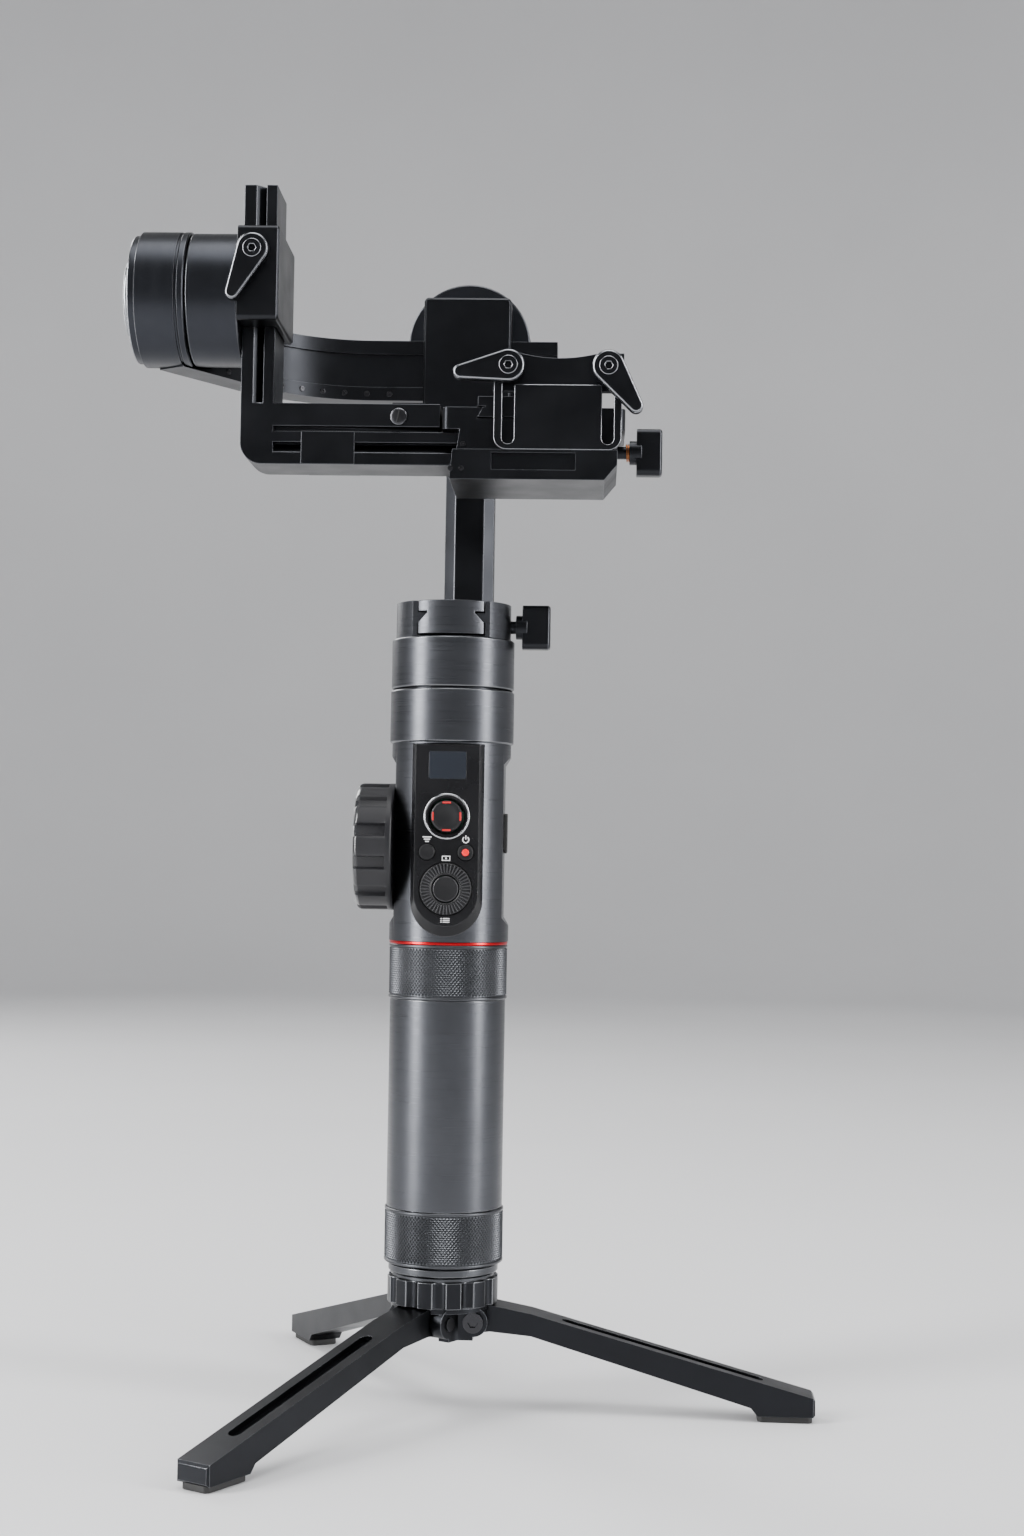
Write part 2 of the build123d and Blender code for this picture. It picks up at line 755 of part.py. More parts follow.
with BuildPart() as tilt_end_cap:
    with BuildSketch(side_plane(tilt_back_x, 0, roll_axis_z)):
        Circle(arm_motor_r - 1.5)
    extrude(amount=-3.2)
    with BuildSketch(side_plane(tilt_back_x - 3.2, 0, roll_axis_z)):
        Circle(16.0)
    extrude(amount=-3.3)
    chamfer(tilt_end_cap.edges().filter_by(GeomType.CIRCLE).sort_by(Axis.X)[0], 0.8)
keep("tilt_end_cap", tilt_end_cap.part)

# ---- Clamps, levers and knobs ----

with BuildPart() as clamp_drum:
    with BuildSketch(Plane.XY.offset(drum_z)):
        Circle(drum_r)
        with Locations((0, -drum_facet - drum_r)):
            Rectangle(2 * drum_r, 2 * drum_r, mode=Mode.SUBTRACT)
    extrude(amount=drum_h)
    with BuildSketch(front_plane(-drum_r - 1, 0, drum_z + drum_h)):
        add(bar_section(slide_gap))
    extrude(amount=-2 * drum_r - 2, mode=Mode.SUBTRACT)
    with BuildSketch(side_plane(0, 0, knob_z)):
        Circle(knob_shaft_r + run_gap)
    extrude(amount=drum_r + 1, mode=Mode.SUBTRACT)
keep("clamp_drum", clamp_drum.part)


def make_wing_knob(base, shaft_in, collar_l, head_l, head_h, head_w):
    """A clamp screw with a round collar and a flat wing; the plane faces outward."""
    with BuildPart() as knob:
        with BuildSketch(base.offset(-shaft_in)):
            Circle(knob_shaft_r)
        extrude(amount=shaft_in + 2.0)
        with BuildSketch(base.offset(2.0)):
            Circle(4.7)
        extrude(amount=collar_l)
        with BuildSketch(base.offset(collar_l)):
            RectangleRounded(head_w, head_h, 2.4)
        extrude(amount=head_l)
        chamfer(knob.faces().sort_by(Axis(base.origin, base.z_dir))[-1].edges(), 0.7)
    return knob.part


yaw_knob_base = side_plane(drum_r, 0, knob_z)
keep("yaw_lock_knob", make_wing_knob(yaw_knob_base, drum_r - bar_w / 2 - 1.0, 4.5, 11.0, 17.3, 8.0))


def make_lever(base, turn):
    """A teardrop lever with its bolt; the plane faces outward and turn is the tip's direction."""
    along = (cos(radians(turn)), sin(radians(turn)))
    across = (-along[1], along[0])
    tip = (lever_l * along[0], lever_l * along[1])
    lean = (lever_hub_r - lever_tip_r) / lever_l
    side = sqrt(1 - lean ** 2)
    corners = [
        (centre[0] + radius * (lean * along[0] + sign * side * across[0]),
         centre[1] + radius * (lean * along[1] + sign * side * across[1]))
        for sign, centre, radius in ((1, (0, 0), lever_hub_r), (1, tip, lever_tip_r),
                                     (-1, tip, lever_tip_r), (-1, (0, 0), lever_hub_r))
    ]
    with BuildPart() as lever:
        with BuildSketch(base.offset(slide_gap)):
            with BuildLine():
                Polyline(*corners, close=True)
            make_face()
            Circle(lever_hub_r)
            with Locations(tip):
                Circle(lever_tip_r)
        extrude(amount=lever_t)
        chamfer(lever.faces().sort_by(Axis(base.origin, base.z_dir))[-1].edges(), 0.6)
        with BuildSketch(base.offset(slide_gap + lever_t)):
            Circle(3.6)
        extrude(amount=0.6)
        with BuildSketch(base.offset(slide_gap + lever_t + 0.6)):
            RegularPolygon(1.5, 6)
        extrude(amount=-1.8, mode=Mode.SUBTRACT)
        with BuildSketch(base.offset(slide_gap)):
            Circle(lever_bolt_r)
        extrude(amount=-lever_bolt_l)
    return lever.part


clamp_t = 2 * slide_gap + bar_t + clamp_wall
clamp_half = bar_w / 2 + clamp_jaw


def tilt_bar_plane(z):
    """Section of the upright bar: its flange faces +X, away from the tilt motor."""
    return Plane(origin=(tilt_face_x + slide_gap + bar_t, 0, z), x_dir=(0, -1, 0), z_dir=(0, 0, 1))


def roll_bar_plane(x):
    """Section of the roll arm's straight run: its flange faces -Y, away from the roll motor."""
    return Plane(origin=(x, roll_face_y - slide_gap - bar_t, roll_bar_z), x_dir=(0, 0, 1), z_dir=(1, 0, 0))


tilt_lever_x = tilt_face_x + 6.4
tilt_lever_z = roll_axis_z + 13.1
tilt_jaw_y = -arm_rotor_r - 2 * slide_gap
tilt_lever_base = front_plane(tilt_jaw_y, tilt_lever_x, tilt_lever_z)
with BuildPart() as tilt_clamp_block:
    with BuildSketch(side_plane(tilt_face_x, (tilt_jaw_y + clamp_half) / 2, roll_axis_z + clamp_rise)):
        RectangleRounded(clamp_half - tilt_jaw_y, clamp_h, 2.0)
    extrude(amount=clamp_t)
    chamfer(tilt_clamp_block.faces().sort_by(Axis.X)[-1].edges(), 0.8)
    with BuildSketch(tilt_bar_plane(roll_axis_z - clamp_h)):
        add(bar_section(slide_gap))
    extrude(amount=3 * clamp_h, mode=Mode.SUBTRACT)
    with BuildSketch(tilt_lever_base):
        Circle(lever_bolt_r + run_gap)
    extrude(amount=-clamp_jaw, mode=Mode.SUBTRACT)
keep("tilt_clamp_block", tilt_clamp_block.part)
keep("tilt_lever", make_lever(tilt_lever_base, -114))

roll_bar_z = roll_axis_z - 14.3
roll_clamp_low = roll_bar_z - clamp_half
roll_lever_y = roll_face_y - 6.4
roll_lever_base = Plane(origin=(0, roll_lever_y, roll_clamp_low), x_dir=(1, 0, 0), z_dir=(0, 0, -1))
with BuildPart() as roll_clamp:
    with BuildSketch(front_plane(roll_face_y, 0, roll_bar_z + clamp_jaw)):
        RectangleRounded(clamp_h, 2 * clamp_half + 2 * clamp_jaw, 2.0)
    extrude(amount=clamp_t)
    chamfer(roll_clamp.faces().sort_by(Axis.Y)[0].edges(), 0.8)
    with BuildSketch(roll_bar_plane(-clamp_h)):
        add(bar_section(slide_gap))
    extrude(amount=2 * clamp_h, mode=Mode.SUBTRACT)
    with BuildSketch(roll_lever_base):
        Circle(lever_bolt_r + run_gap)
    extrude(amount=-clamp_jaw, mode=Mode.SUBTRACT)
keep("roll_clamp", roll_clamp.part)
keep("roll_lever", make_lever(roll_lever_base, 180))

# ---- Pan arm: bar through the drum, upright post to the roll motor ----

bar_top = drum_z + drum_h
post_front = yaw_arm_back - bar_t
with BuildPart() as yaw_arm:
    with BuildSketch(front_plane(-drum_r, 0, bar_top)):
        add(bar_section())
    extrude(amount=-drum_r - yaw_arm_back)
    with BuildSketch(Plane.XY.offset(bar_top - bar_t)):
        Circle(drum_r)
        with Locations((0, drum_r)):
            Rectangle(2 * bar_w, 2 * drum_r)
        with Locations((0, 2 * drum_r + yaw_arm_back / 2)):
            Rectangle(2 * bar_w, yaw_arm_back)
    extrude(amount=bar_t, mode=Mode.INTERSECT)
    with BuildSketch(Plane.XY.offset(bar_top - bar_t)):
        with BuildLine():
            side = post_w / 2
            Polyline(
                (-side, yaw_arm_back), (-side, post_front + post_bevel_y),
                (-side + post_bevel_x, post_front), (side - post_bevel_x, post_front),
                (side, post_front + post_bevel_y), (side, yaw_arm_back),
                close=True,
            )
        make_face()
    extrude(amount=roll_axis_z - 15 - bar_top + bar_t)
    with BuildSketch(front_plane(post_front - 5, 0, roll_axis_z)):
        Circle(arm_motor_r)
    extrude(amount=-bar_t - 10, mode=Mode.SUBTRACT)
    heel = yaw_arm.edges().filter_by(Axis.X).group_by(Axis.Z)[0].sort_by(Axis.Y)[-1]
    fillet(heel, 8.0)
keep("yaw_arm", yaw_arm.part)

# ---- Roll arm: from under the tilt motor, back and across behind the camera ----

lean_x = (roll_face_y - slide_gap - bar_t / 2) / tan(radians(roll_arm_turn))
arm_start_x = tilt_back_x + arm_stator_l / 2 + 1.0
arm_y = roll_face_y - slide_gap - bar_t / 2


def arm_path():
    """Centre line of the roll arm, seen from above."""
    return FilletPolyline(
        (arm_start_x, 0), (arm_start_x + lean_x, arm_y), (roll_arm_end, arm_y), radius=roll_arm_bend
    )


with BuildPart() as roll_arm:
    with BuildSketch(Plane.XY.offset(roll_bar_z - bar_w / 2)):
        with BuildLine():
            arm_path()
        trace(line_width=bar_t)
    extrude(amount=bar_w)
    with BuildSketch(Plane.XY.offset(roll_bar_z - arm_channel_h / 2)):
        with BuildLine():
            arm_path()
        trace(line_width=bar_t + 2)
        with BuildLine():
            arm_path()
        trace(line_width=bar_t - 2 * arm_channel_d, mode=Mode.SUBTRACT)
        with Locations((roll_arm_end - 40, arm_y + 5)):
            Rectangle(150, bar_t, mode=Mode.SUBTRACT)
    extrude(amount=arm_channel_h, mode=Mode.SUBTRACT)
    with BuildSketch(roll_bar_plane(-clamp_travel)):
        Rectangle(2 * bar_w, 60)
        add(bar_section(), mode=Mode.SUBTRACT)
        with Locations((0, -bar_t - 10)):
            Rectangle(bar_w, 20, mode=Mode.SUBTRACT)
        with Locations((0, 10)):
            Rectangle(bar_w, 20, mode=Mode.SUBTRACT)
    extrude(amount=roll_arm_end + clamp_travel, mode=Mode.SUBTRACT)
    with BuildSketch(tilt_base):
        Circle(arm_motor_r)
    extrude(amount=arm_stator_l, mode=Mode.SUBTRACT)
    with BuildSketch(side_plane(tilt_back_x + arm_stator_l, 0, roll_axis_z)):
        Circle(arm_rotor_r + 0.8)
    extrude(amount=arm_rotor_l + 6, mode=Mode.SUBTRACT)
keep("roll_arm", roll_arm.part)

# ---- Tilt arm: upright bar, corner, bridge and rail ----

bar_left = tilt_face_x + slide_gap
rail_top = tilt_arm_bottom + bar_t
bridge_z = rail_top + 2.0
with BuildPart() as tilt_arm:
    with BuildSketch(tilt_bar_plane(tilt_arm_bottom)):
        add(bar_section())
    extrude(amount=tilt_arm_top - tilt_arm_bottom)
    with BuildSketch(side_plane(bar_left, 0, rail_top)):
        add(bar_section())
    extrude(amount=rail_end - bar_left)
    with BuildSketch(side_plane(bar_left, 0, bridge_z + bridge_h / 2)):
        Rectangle(bar_w, bridge_h)
    extrude(amount=tilt_arm_end - bar_left)
    with BuildSketch(side_plane(bar_left, 0, rail_top + 1.0)):
        Rectangle(bar_w - 6.0, 2.0)
    extrude(amount=tilt_arm_end - bar_left)
    with BuildSketch(side_plane(bar_left, 0, (tilt_arm_bottom + bridge_z + bridge_h) / 2)):
        Rectangle(bar_w, bridge_z + bridge_h - tilt_arm_bottom)
    extrude(amount=bar_t)
    corner = tilt_arm.edges().filter_by(Axis.Y).group_by(Axis.Z)[0].sort_by(Axis.X)[0]
    fillet(corner, 8.5)
    with BuildSketch(side_plane(bar_left + bar_t + 11.0, 0, tilt_arm_bottom + bar_t / 2)):
        Rectangle(bar_w + 1.0, bar_t)
        Rectangle(bar_w - 8.0, bar_t - 2, mode=Mode.SUBTRACT)
    extrude(amount=21.0)
keep("tilt_arm", tilt_arm.part)

# ---- Camera base, its knob, camera plate and screw ----

with BuildPart() as camera_base:
    with BuildSketch(front_plane(base_front)):
        with BuildLine():
            Polyline(
                (base_x0 + 1.0, base_bottom), (base_x1 - 5.0, base_bottom),
                (base_x1, base_bottom + base_lead), (base_x1, bracket_foot_z), (base_x0 + 2.0, bracket_foot_z), close=True,
            )
        make_face()
    extrude(amount=-(base_back - base_front))
    with BuildSketch(front_plane(block_front)):
        with BuildLine():
            Polyline(
                (base_x0 + 1.0, base_bottom), (base_x1, base_bottom + base_lead), (base_x1, step_z),
                (base_x0 + 4.0, step_z), close=True,
            )
        make_face()
    extrude(amount=-(base_back - block_front))
    with BuildSketch(Plane.XY.offset(step_z)):
        with Locations(((block_x0 + block_x1) / 2, (block_front + base_back) / 2)):
            RectangleRounded(block_x1 - block_x0, base_back - block_front, block_corner_r)
    extrude(amount=block_top - step_z)
    with BuildSketch(front_plane(base_front, recess_x, base_bottom + 7.0)):
        Rectangle(recess_w, recess_h)
    extrude(amount=-recess_depth, mode=Mode.SUBTRACT)
    with BuildSketch(side_plane(block_x0 - 1, 0, rail_top)):
        add(bar_section(slide_gap))
    extrude(amount=block_x1 - block_x0 + 2, mode=Mode.SUBTRACT)
    with BuildSketch(front_plane(block_front - 1, plate_x, block_top)):
        with BuildLine():
            half = plate_w / 2 + slide_gap
            floor = plate_t - 1.0 + slide_gap
            Polyline(
                (-half + plate_lean, 1), (half - plate_lean, 1), (half - plate_lean, 0), (half, -floor),
                (-half, -floor), (-half + plate_lean, 0), close=True,
            )
        make_face()
    extrude(amount=-(base_back - block_front + 2), mode=Mode.SUBTRACT)
    with BuildSketch(side_plane(base_x1, 0, qr_axis_z)):
        Circle(knob_shaft_r + run_gap)
    extrude(amount=-(base_x1 - rail_reach_limit), mode=Mode.SUBTRACT)
keep("camera_base", camera_base.part)

keep("qr_knob", make_wing_knob(side_plane(block_x1, 0, qr_axis_z), 6.0, 4.8, 10.0, 18.5, 8.0))

plate_top = block_top + 4.0
with BuildPart() as camera_plate:
    with BuildSketch(front_plane(plate_front, plate_x, block_top)):
        with BuildLine():
            half = plate_w / 2
            floor = plate_t - 1.0
            Polyline(
                (-half + plate_lean, 0), (half - plate_lean, 0), (half, -floor), (-half, -floor), close=True
            )
        make_face()
        with Locations((0, 2.15)):
            Rectangle(plate_w, 3.7)
        with Locations((0, 0.15)):
            Rectangle(plate_w - 6, 0.5)
    extrude(amount=-plate_l)
    with BuildSketch(Plane.XY.offset(plate_top)):
        with Locations((plate_x, screw_y)):
            SlotOverall(screw_slot_l, 2 * camera_screw_r + 2 * slide_gap, rotation=90)
    extrude(amount=-plate_l, mode=Mode.SUBTRACT)
    with BuildSketch(Plane.XY.offset(plate_top - plate_skin)):
        with Locations((plate_x, screw_y)):
            SlotOverall(screw_slot_l + 10.0, 2 * screw_head_r + 2.0, rotation=90)
    extrude(amount=-plate_l, mode=Mode.SUBTRACT)
keep("camera_plate", camera_plate.part)

screw_plane = Plane(origin=(plate_x, screw_y, plate_top - plate_skin - slide_gap), z_dir=(0, 0, 1))
with BuildPart() as camera_screw:
    with BuildSketch(screw_plane):
        Circle(screw_neck_r)
    extrude(amount=plate_skin + 2 * slide_gap)
    with BuildSketch(screw_plane.offset(plate_skin + 2 * slide_gap)):
        Circle(camera_screw_r)
    extrude(amount=camera_screw_l)
    chamfer(camera_screw.edges().filter_by(GeomType.CIRCLE).sort_by(Axis.Z)[-1], 0.5)
    with BuildSketch(screw_plane):
        Circle(screw_head_r)
    extrude(amount=-screw_head_t)
    with BuildSketch(screw_plane.offset(-screw_head_t)):
        Rectangle(1.3 * screw_head_r, 1.4)
    extrude(amount=screw_head_t / 2, mode=Mode.SUBTRACT)
keep("camera_screw", camera_screw.part)

# ---- Lens support ----

bracket_back = bracket_y + bracket_t
with BuildPart() as lens_bracket:
    with BuildSketch(front_plane(bracket_y)):
        with Locations(((bracket_x0 + bracket_x1) / 2, (bracket_foot_z + bracket_mid_z) / 2)):
            Rectangle(bracket_x1 - bracket_x0, bracket_mid_z - bracket_foot_z)
        for x, edge in ((slot_x[0], bracket_x0), (slot_x[1], bracket_x1)):
            with Locations(((x + edge) / 2, (bracket_foot_z + cradle_bolt_z) / 2)):
                Rectangle(abs(x - edge), cradle_bolt_z - bracket_foot_z)
            with Locations((x, cradle_bolt_z)):
                Circle(abs(x - edge))
        for x in slot_x:
            with Locations((x, (slot_low + cradle_bolt_z) / 2)):
                SlotOverall(cradle_bolt_z - slot_low + slot_w, slot_w, rotation=90, mode=Mode.SUBTRACT)
    extrude(amount=-bracket_t)
    lower = lens_bracket.edges().filter_by(Axis.Y).group_by(Axis.Z)[0]
    fillet(lower, bracket_corner_r)
keep("lens_bracket", lens_bracket.part)

cradle_y = bracket_back + slide_gap
cradle_top = cradle_bolt_z + 6.5
cradle_mid = (slot_x[0] + slot_x[1]) / 2
with BuildPart() as lens_cradle:
    with BuildSketch(front_plane(cradle_y)):
        with Locations((cradle_mid, cradle_top - cradle_h / 2)):
            Rectangle(slot_x[1] - slot_x[0] + 12.0, cradle_h)
        with Locations((cradle_mid, cradle_top + cradle_round_r - 2.0)):
            Circle(cradle_round_r, mode=Mode.SUBTRACT)
    extrude(amount=-cradle_t)
    with BuildSketch(front_plane(cradle_y)):
        with Locations((cradle_mid, cradle_top - cradle_pad_h / 2)):
            Rectangle(cradle_pad_w, cradle_pad_h)
        with Locations((cradle_mid, cradle_top + cradle_round_r - 2.0)):
            Circle(cradle_round_r, mode=Mode.SUBTRACT)
    extrude(amount=-cradle_t - cradle_lip)
    with BuildSketch(front_plane(cradle_y)):
        with Locations(*[(x, cradle_bolt_z) for x in slot_x]):
            Circle(lever_bolt_r + run_gap)
    extrude(amount=-cradle_t, mode=Mode.SUBTRACT)
keep("lens_cradle", lens_cradle.part)

for name, x, turn in (
    ("lens_lever_left", slot_x[0], left_lever_rest), ("lens_lever_right", slot_x[1], right_lever_rest)
):
    keep(name, make_lever(front_plane(bracket_y, x, cradle_bolt_z), turn))

# ---- The row's frame: origin under the middle of the box that holds everything ----

box = Compound(children=[piece.moved(Location()) for piece in pieces.values()]).bounding_box()
shift = Location((-(box.min.X + box.max.X) / 2, -(box.min.Y + box.max.Y) / 2, 0))
for name, piece in pieces.items():
    placed = piece.moved(shift)
    placed.label = name
    export_step(placed, f"parts/{name}.step")
print("pieces", len(pieces), "box", box.size, "shift", shift.position)
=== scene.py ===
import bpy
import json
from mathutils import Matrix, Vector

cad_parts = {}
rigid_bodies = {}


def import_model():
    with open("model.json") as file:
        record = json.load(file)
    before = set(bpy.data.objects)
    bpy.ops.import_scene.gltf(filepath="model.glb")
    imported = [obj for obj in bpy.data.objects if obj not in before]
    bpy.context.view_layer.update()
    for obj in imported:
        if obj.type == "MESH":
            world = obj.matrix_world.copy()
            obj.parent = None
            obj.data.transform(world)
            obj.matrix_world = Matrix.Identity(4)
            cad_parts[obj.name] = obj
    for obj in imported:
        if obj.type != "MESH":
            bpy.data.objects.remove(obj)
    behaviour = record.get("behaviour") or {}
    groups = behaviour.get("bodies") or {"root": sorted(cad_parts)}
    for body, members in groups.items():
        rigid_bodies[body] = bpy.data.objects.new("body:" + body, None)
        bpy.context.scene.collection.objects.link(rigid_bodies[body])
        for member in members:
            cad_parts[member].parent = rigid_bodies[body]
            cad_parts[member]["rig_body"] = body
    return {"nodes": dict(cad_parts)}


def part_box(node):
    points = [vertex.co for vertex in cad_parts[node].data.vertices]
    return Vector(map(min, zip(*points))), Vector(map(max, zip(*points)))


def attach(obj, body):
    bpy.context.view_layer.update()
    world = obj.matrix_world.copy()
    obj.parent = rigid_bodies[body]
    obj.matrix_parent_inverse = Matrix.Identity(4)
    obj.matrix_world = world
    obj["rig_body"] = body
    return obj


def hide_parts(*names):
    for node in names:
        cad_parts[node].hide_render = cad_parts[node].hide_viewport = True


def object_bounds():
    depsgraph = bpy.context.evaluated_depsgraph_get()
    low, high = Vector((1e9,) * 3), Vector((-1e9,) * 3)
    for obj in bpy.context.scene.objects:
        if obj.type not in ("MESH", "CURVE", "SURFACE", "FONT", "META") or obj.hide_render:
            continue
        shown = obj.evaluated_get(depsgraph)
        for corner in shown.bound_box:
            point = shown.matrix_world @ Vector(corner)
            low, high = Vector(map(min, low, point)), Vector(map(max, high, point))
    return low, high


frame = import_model()
cadBox = [list(corner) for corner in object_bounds()]

import bmesh
import bpy
import json
from math import cos, pi, radians, sin, sqrt, tau
from mathutils import Matrix, Vector
from mathutils.bvhtree import BVHTree

mm = 0.001
scene = bpy.context.scene
bodyOf = {name: node["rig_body"] for name, node in frame["nodes"].items()}


def middle(node):
    low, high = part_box(node)
    return (low + high) / 2


def halfWide(node):
    low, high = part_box(node)
    return (high.x - low.x) / 2


panAxis = middle("grip_tube")  # the handle, the pan motor and the tripod stand round this line
rollAxis = middle("roll_stator_housing")
front = Matrix(((1, 0, 0), (0, 0, -1), (0, 1, 0))).to_4x4()  # local z points at the user, local y up
toLeft = Matrix(((0, 0, -1), (0, 1, 0), (1, 0, 0))).to_4x4()  # local z points to -X


# finishes

def blankMaterial(name, colour, metallic, roughness):
    material = bpy.data.materials.new(name)
    material.use_nodes = True
    material.diffuse_color = (*colour, 1)
    shader = material.node_tree.nodes["Principled BSDF"]
    shader.inputs["Base Color"].default_value = (*colour, 1)
    shader.inputs["Metallic"].default_value = metallic
    shader.inputs["Roughness"].default_value = roughness
    return material, material.node_tree, shader


def noiseOn(tree, size, stretch=(1, 1, 1), detail=3.0):
    # noise whose blobs are about size metres wide, squeezed along an axis by stretch
    where = tree.nodes.new("ShaderNodeTexCoord")
    squeeze = tree.nodes.new("ShaderNodeMapping")
    squeeze.inputs["Scale"].default_value = stretch
    noise = tree.nodes.new("ShaderNodeTexNoise")
    noise.inputs["Scale"].default_value = 1 / size
    noise.inputs["Detail"].default_value = detail
    tree.links.new(where.outputs["Object"], squeeze.inputs["Vector"])
    tree.links.new(squeeze.outputs["Vector"], noise.inputs["Vector"])
    return noise.outputs["Fac"]


def spread(tree, source, low, high, lowIn=0.3, highIn=0.7):
    ranged = tree.nodes.new("ShaderNodeMapRange")
    ranged.inputs["From Min"].default_value = lowIn
    ranged.inputs["From Max"].default_value = highIn
    ranged.inputs["To Min"].default_value = low
    ranged.inputs["To Max"].default_value = high
    tree.links.new(source, ranged.inputs["Value"])
    return ranged.outputs["Result"]


def tint(tree, shader, source, colour, amount):
    # the colour drifts a little lighter and darker over the piece
    mix = tree.nodes.new("ShaderNodeMix")
    mix.data_type = "RGBA"
    mix.inputs["A"].default_value = (*[c * (1 - amount) for c in colour], 1)
    mix.inputs["B"].default_value = (*[min(1, c * (1 + amount)) for c in colour], 1)
    tree.links.new(source, mix.inputs["Factor"])
    tree.links.new(mix.outputs["Result"], shader.inputs["Base Color"])


def relief(tree, shader, sources):
    # sources are (height, strength, depth in metres), stacked one on another
    last = None
    for height, strength, depth in sources:
        bump = tree.nodes.new("ShaderNodeBump")
        bump.inputs["Strength"].default_value = strength
        bump.inputs["Distance"].default_value = depth
        tree.links.new(height, bump.inputs["Height"])
        if last:
            tree.links.new(last.outputs["Normal"], bump.inputs["Normal"])
        last = bump
    tree.links.new(last.outputs["Normal"], shader.inputs["Normal"])


def finish(name, colour, metallic, roughness, grain=0.12 * mm, grainDepth=0.01 * mm, patch=18 * mm,
           drift=0.08, lay=None, layDepth=0.006 * mm, coat=0.0, wear=0.05, shine=0.5):
    # a satin, blasted or moulded surface; lay squeezes fine tool marks along an axis
    material, tree, shader = blankMaterial(name, colour, metallic, roughness)
    shader.inputs["Specular IOR Level"].default_value = shine
    if coat:
        shader.inputs["Coat Weight"].default_value = coat
        shader.inputs["Coat Roughness"].default_value = 0.12
    broad = noiseOn(tree, patch, detail=5.0)
    fine = noiseOn(tree, grain)
    tint(tree, shader, spread(tree, broad, 0, 1), colour, drift)
    layers = [(fine, 0.35, grainDepth)]
    if lay:
        marks = noiseOn(tree, 1.0, lay, detail=2.0)
        layers.append((marks, 0.4, layDepth))
        drag = spread(tree, marks, roughness - wear, roughness + wear)
    else:
        drag = spread(tree, broad, roughness - wear, roughness + wear)
    tree.links.new(drag, shader.inputs["Roughness"])
    relief(tree, shader, layers)
    return material


turnedZ = (20, 20, 5200)
turnedX = (5200, 20, 20)
turnedY = (20, 5200, 20)
gunmetal = finish("gunmetalSatin", (0.082, 0.085, 0.094), 1.0, 0.32, lay=turnedZ)
# a lighter copy of the gunmetal, laid on the chamfers as a painted highlight
gunmetalEdgeHighlight = finish("gunmetalEdgeHighlight", (0.165, 0.17, 0.18), 1.0, 0.28, wear=0.03)
knurlMetal = finish("knurlDark", (0.080, 0.083, 0.090), 1.0, 0.33, grain=0.2 * mm)
blackSatin = finish("blackAnodised", (0.024, 0.025, 0.028), 1.0, 0.34, grainDepth=0.012 * mm)
blackTurnedX = finish("blackTurnedAcross", (0.034, 0.036, 0.042), 1.0, 0.33, lay=turnedX)
blackTurnedY = finish("blackTurnedBack", (0.034, 0.036, 0.042), 1.0, 0.33, lay=turnedY)
# lighter copies of the black anodising, laid on the chamfers as painted highlights, the second one brighter
# still
blackEdgeHighlight = finish("blackEdgeHighlight", (0.085, 0.088, 0.096), 1.0, 0.28, wear=0.04)
brightEdgeHighlight = finish("brightEdgeHighlight", (0.30, 0.31, 0.33), 1.0, 0.24, wear=0.04)
redAnodised = finish("redAnodised", (0.62, 0.012, 0.022), 1.0, 0.26, lay=turnedZ, drift=0.05)
panelGloss = finish("panelGloss", (0.006, 0.006, 0.007), 0.0, 0.28, grain=0.5 * mm, drift=0.2, shine=0.28)
# a lighter, glossier copy of the panel plastic, laid on its chamfers as a painted highlight
panelEdgeHighlight = finish("panelEdgeHighlight", (0.020, 0.020, 0.023), 0.0, 0.22, coat=0.4)
buttonSatin = finish("buttonSatin", (0.009, 0.009, 0.010), 0.0, 0.40, grain=0.16 * mm, grainDepth=0.015 * mm,
                     shine=0.32)
wheelGrip = finish("wheelGrip", (0.012, 0.012, 0.014), 0.0, 0.40, grain=0.28 * mm, grainDepth=0.04 * mm,
                   shine=0.36)
wheelRim = finish("wheelRim", (0.020, 0.021, 0.023), 0.0, 0.22, coat=0.5)
rubber = finish("rubberFoot", (0.018, 0.018, 0.018), 0.0, 0.62, grain=0.3 * mm, grainDepth=0.05 * mm)
silver = finish("silverTurned", (0.50, 0.51, 0.53), 1.0, 0.16, lay=turnedY, drift=0.04)
ridgeSatin = finish("ridgeSatin", (0.034, 0.034, 0.037), 0.0, 0.26, grain=0.3 * mm)
steel = finish("steelBright", (0.48, 0.48, 0.49), 1.0, 0.25)
screwBlack = finish("screwBlack", (0.050, 0.050, 0.054), 1.0, 0.28, grain=0.1 * mm)
copper = finish("copperWire", (0.62, 0.24, 0.09), 1.0, 0.30, lay=turnedZ)
cellWrap = finish("cellWrap", (0.05, 0.16, 0.33), 0.0, 0.35, patch=9 * mm)
boardGreen = finish("boardMask", (0.012, 0.10, 0.045), 0.0, 0.30, patch=4 * mm, drift=0.4)
whiteInk = finish("whiteInk", (0.78, 0.78, 0.78), 0.0, 0.50)
redInk = finish("redInk", (0.62, 0.014, 0.016), 0.0, 0.35)
glassBlack = finish("displayGlass", (0.006, 0.009, 0.016), 0.0, 0.08, grain=1.2 * mm, grainDepth=0.001 * mm,
                    coat=1.0, wear=0.02)


def glowing(name, colour, strength):
    material, tree, shader = blankMaterial(name, colour, 0.0, 0.2)
    shader.inputs["Emission Color"].default_value = (*colour, 1)
    shader.inputs["Emission Strength"].default_value = strength
    relief(tree, shader, [(noiseOn(tree, 0.4 * mm), 0.2, 0.01 * mm)])
    return material


ledRed = glowing("ledRed", (0.80, 0.002, 0.006), 0.35)
print("finishes ready")


# making pieces

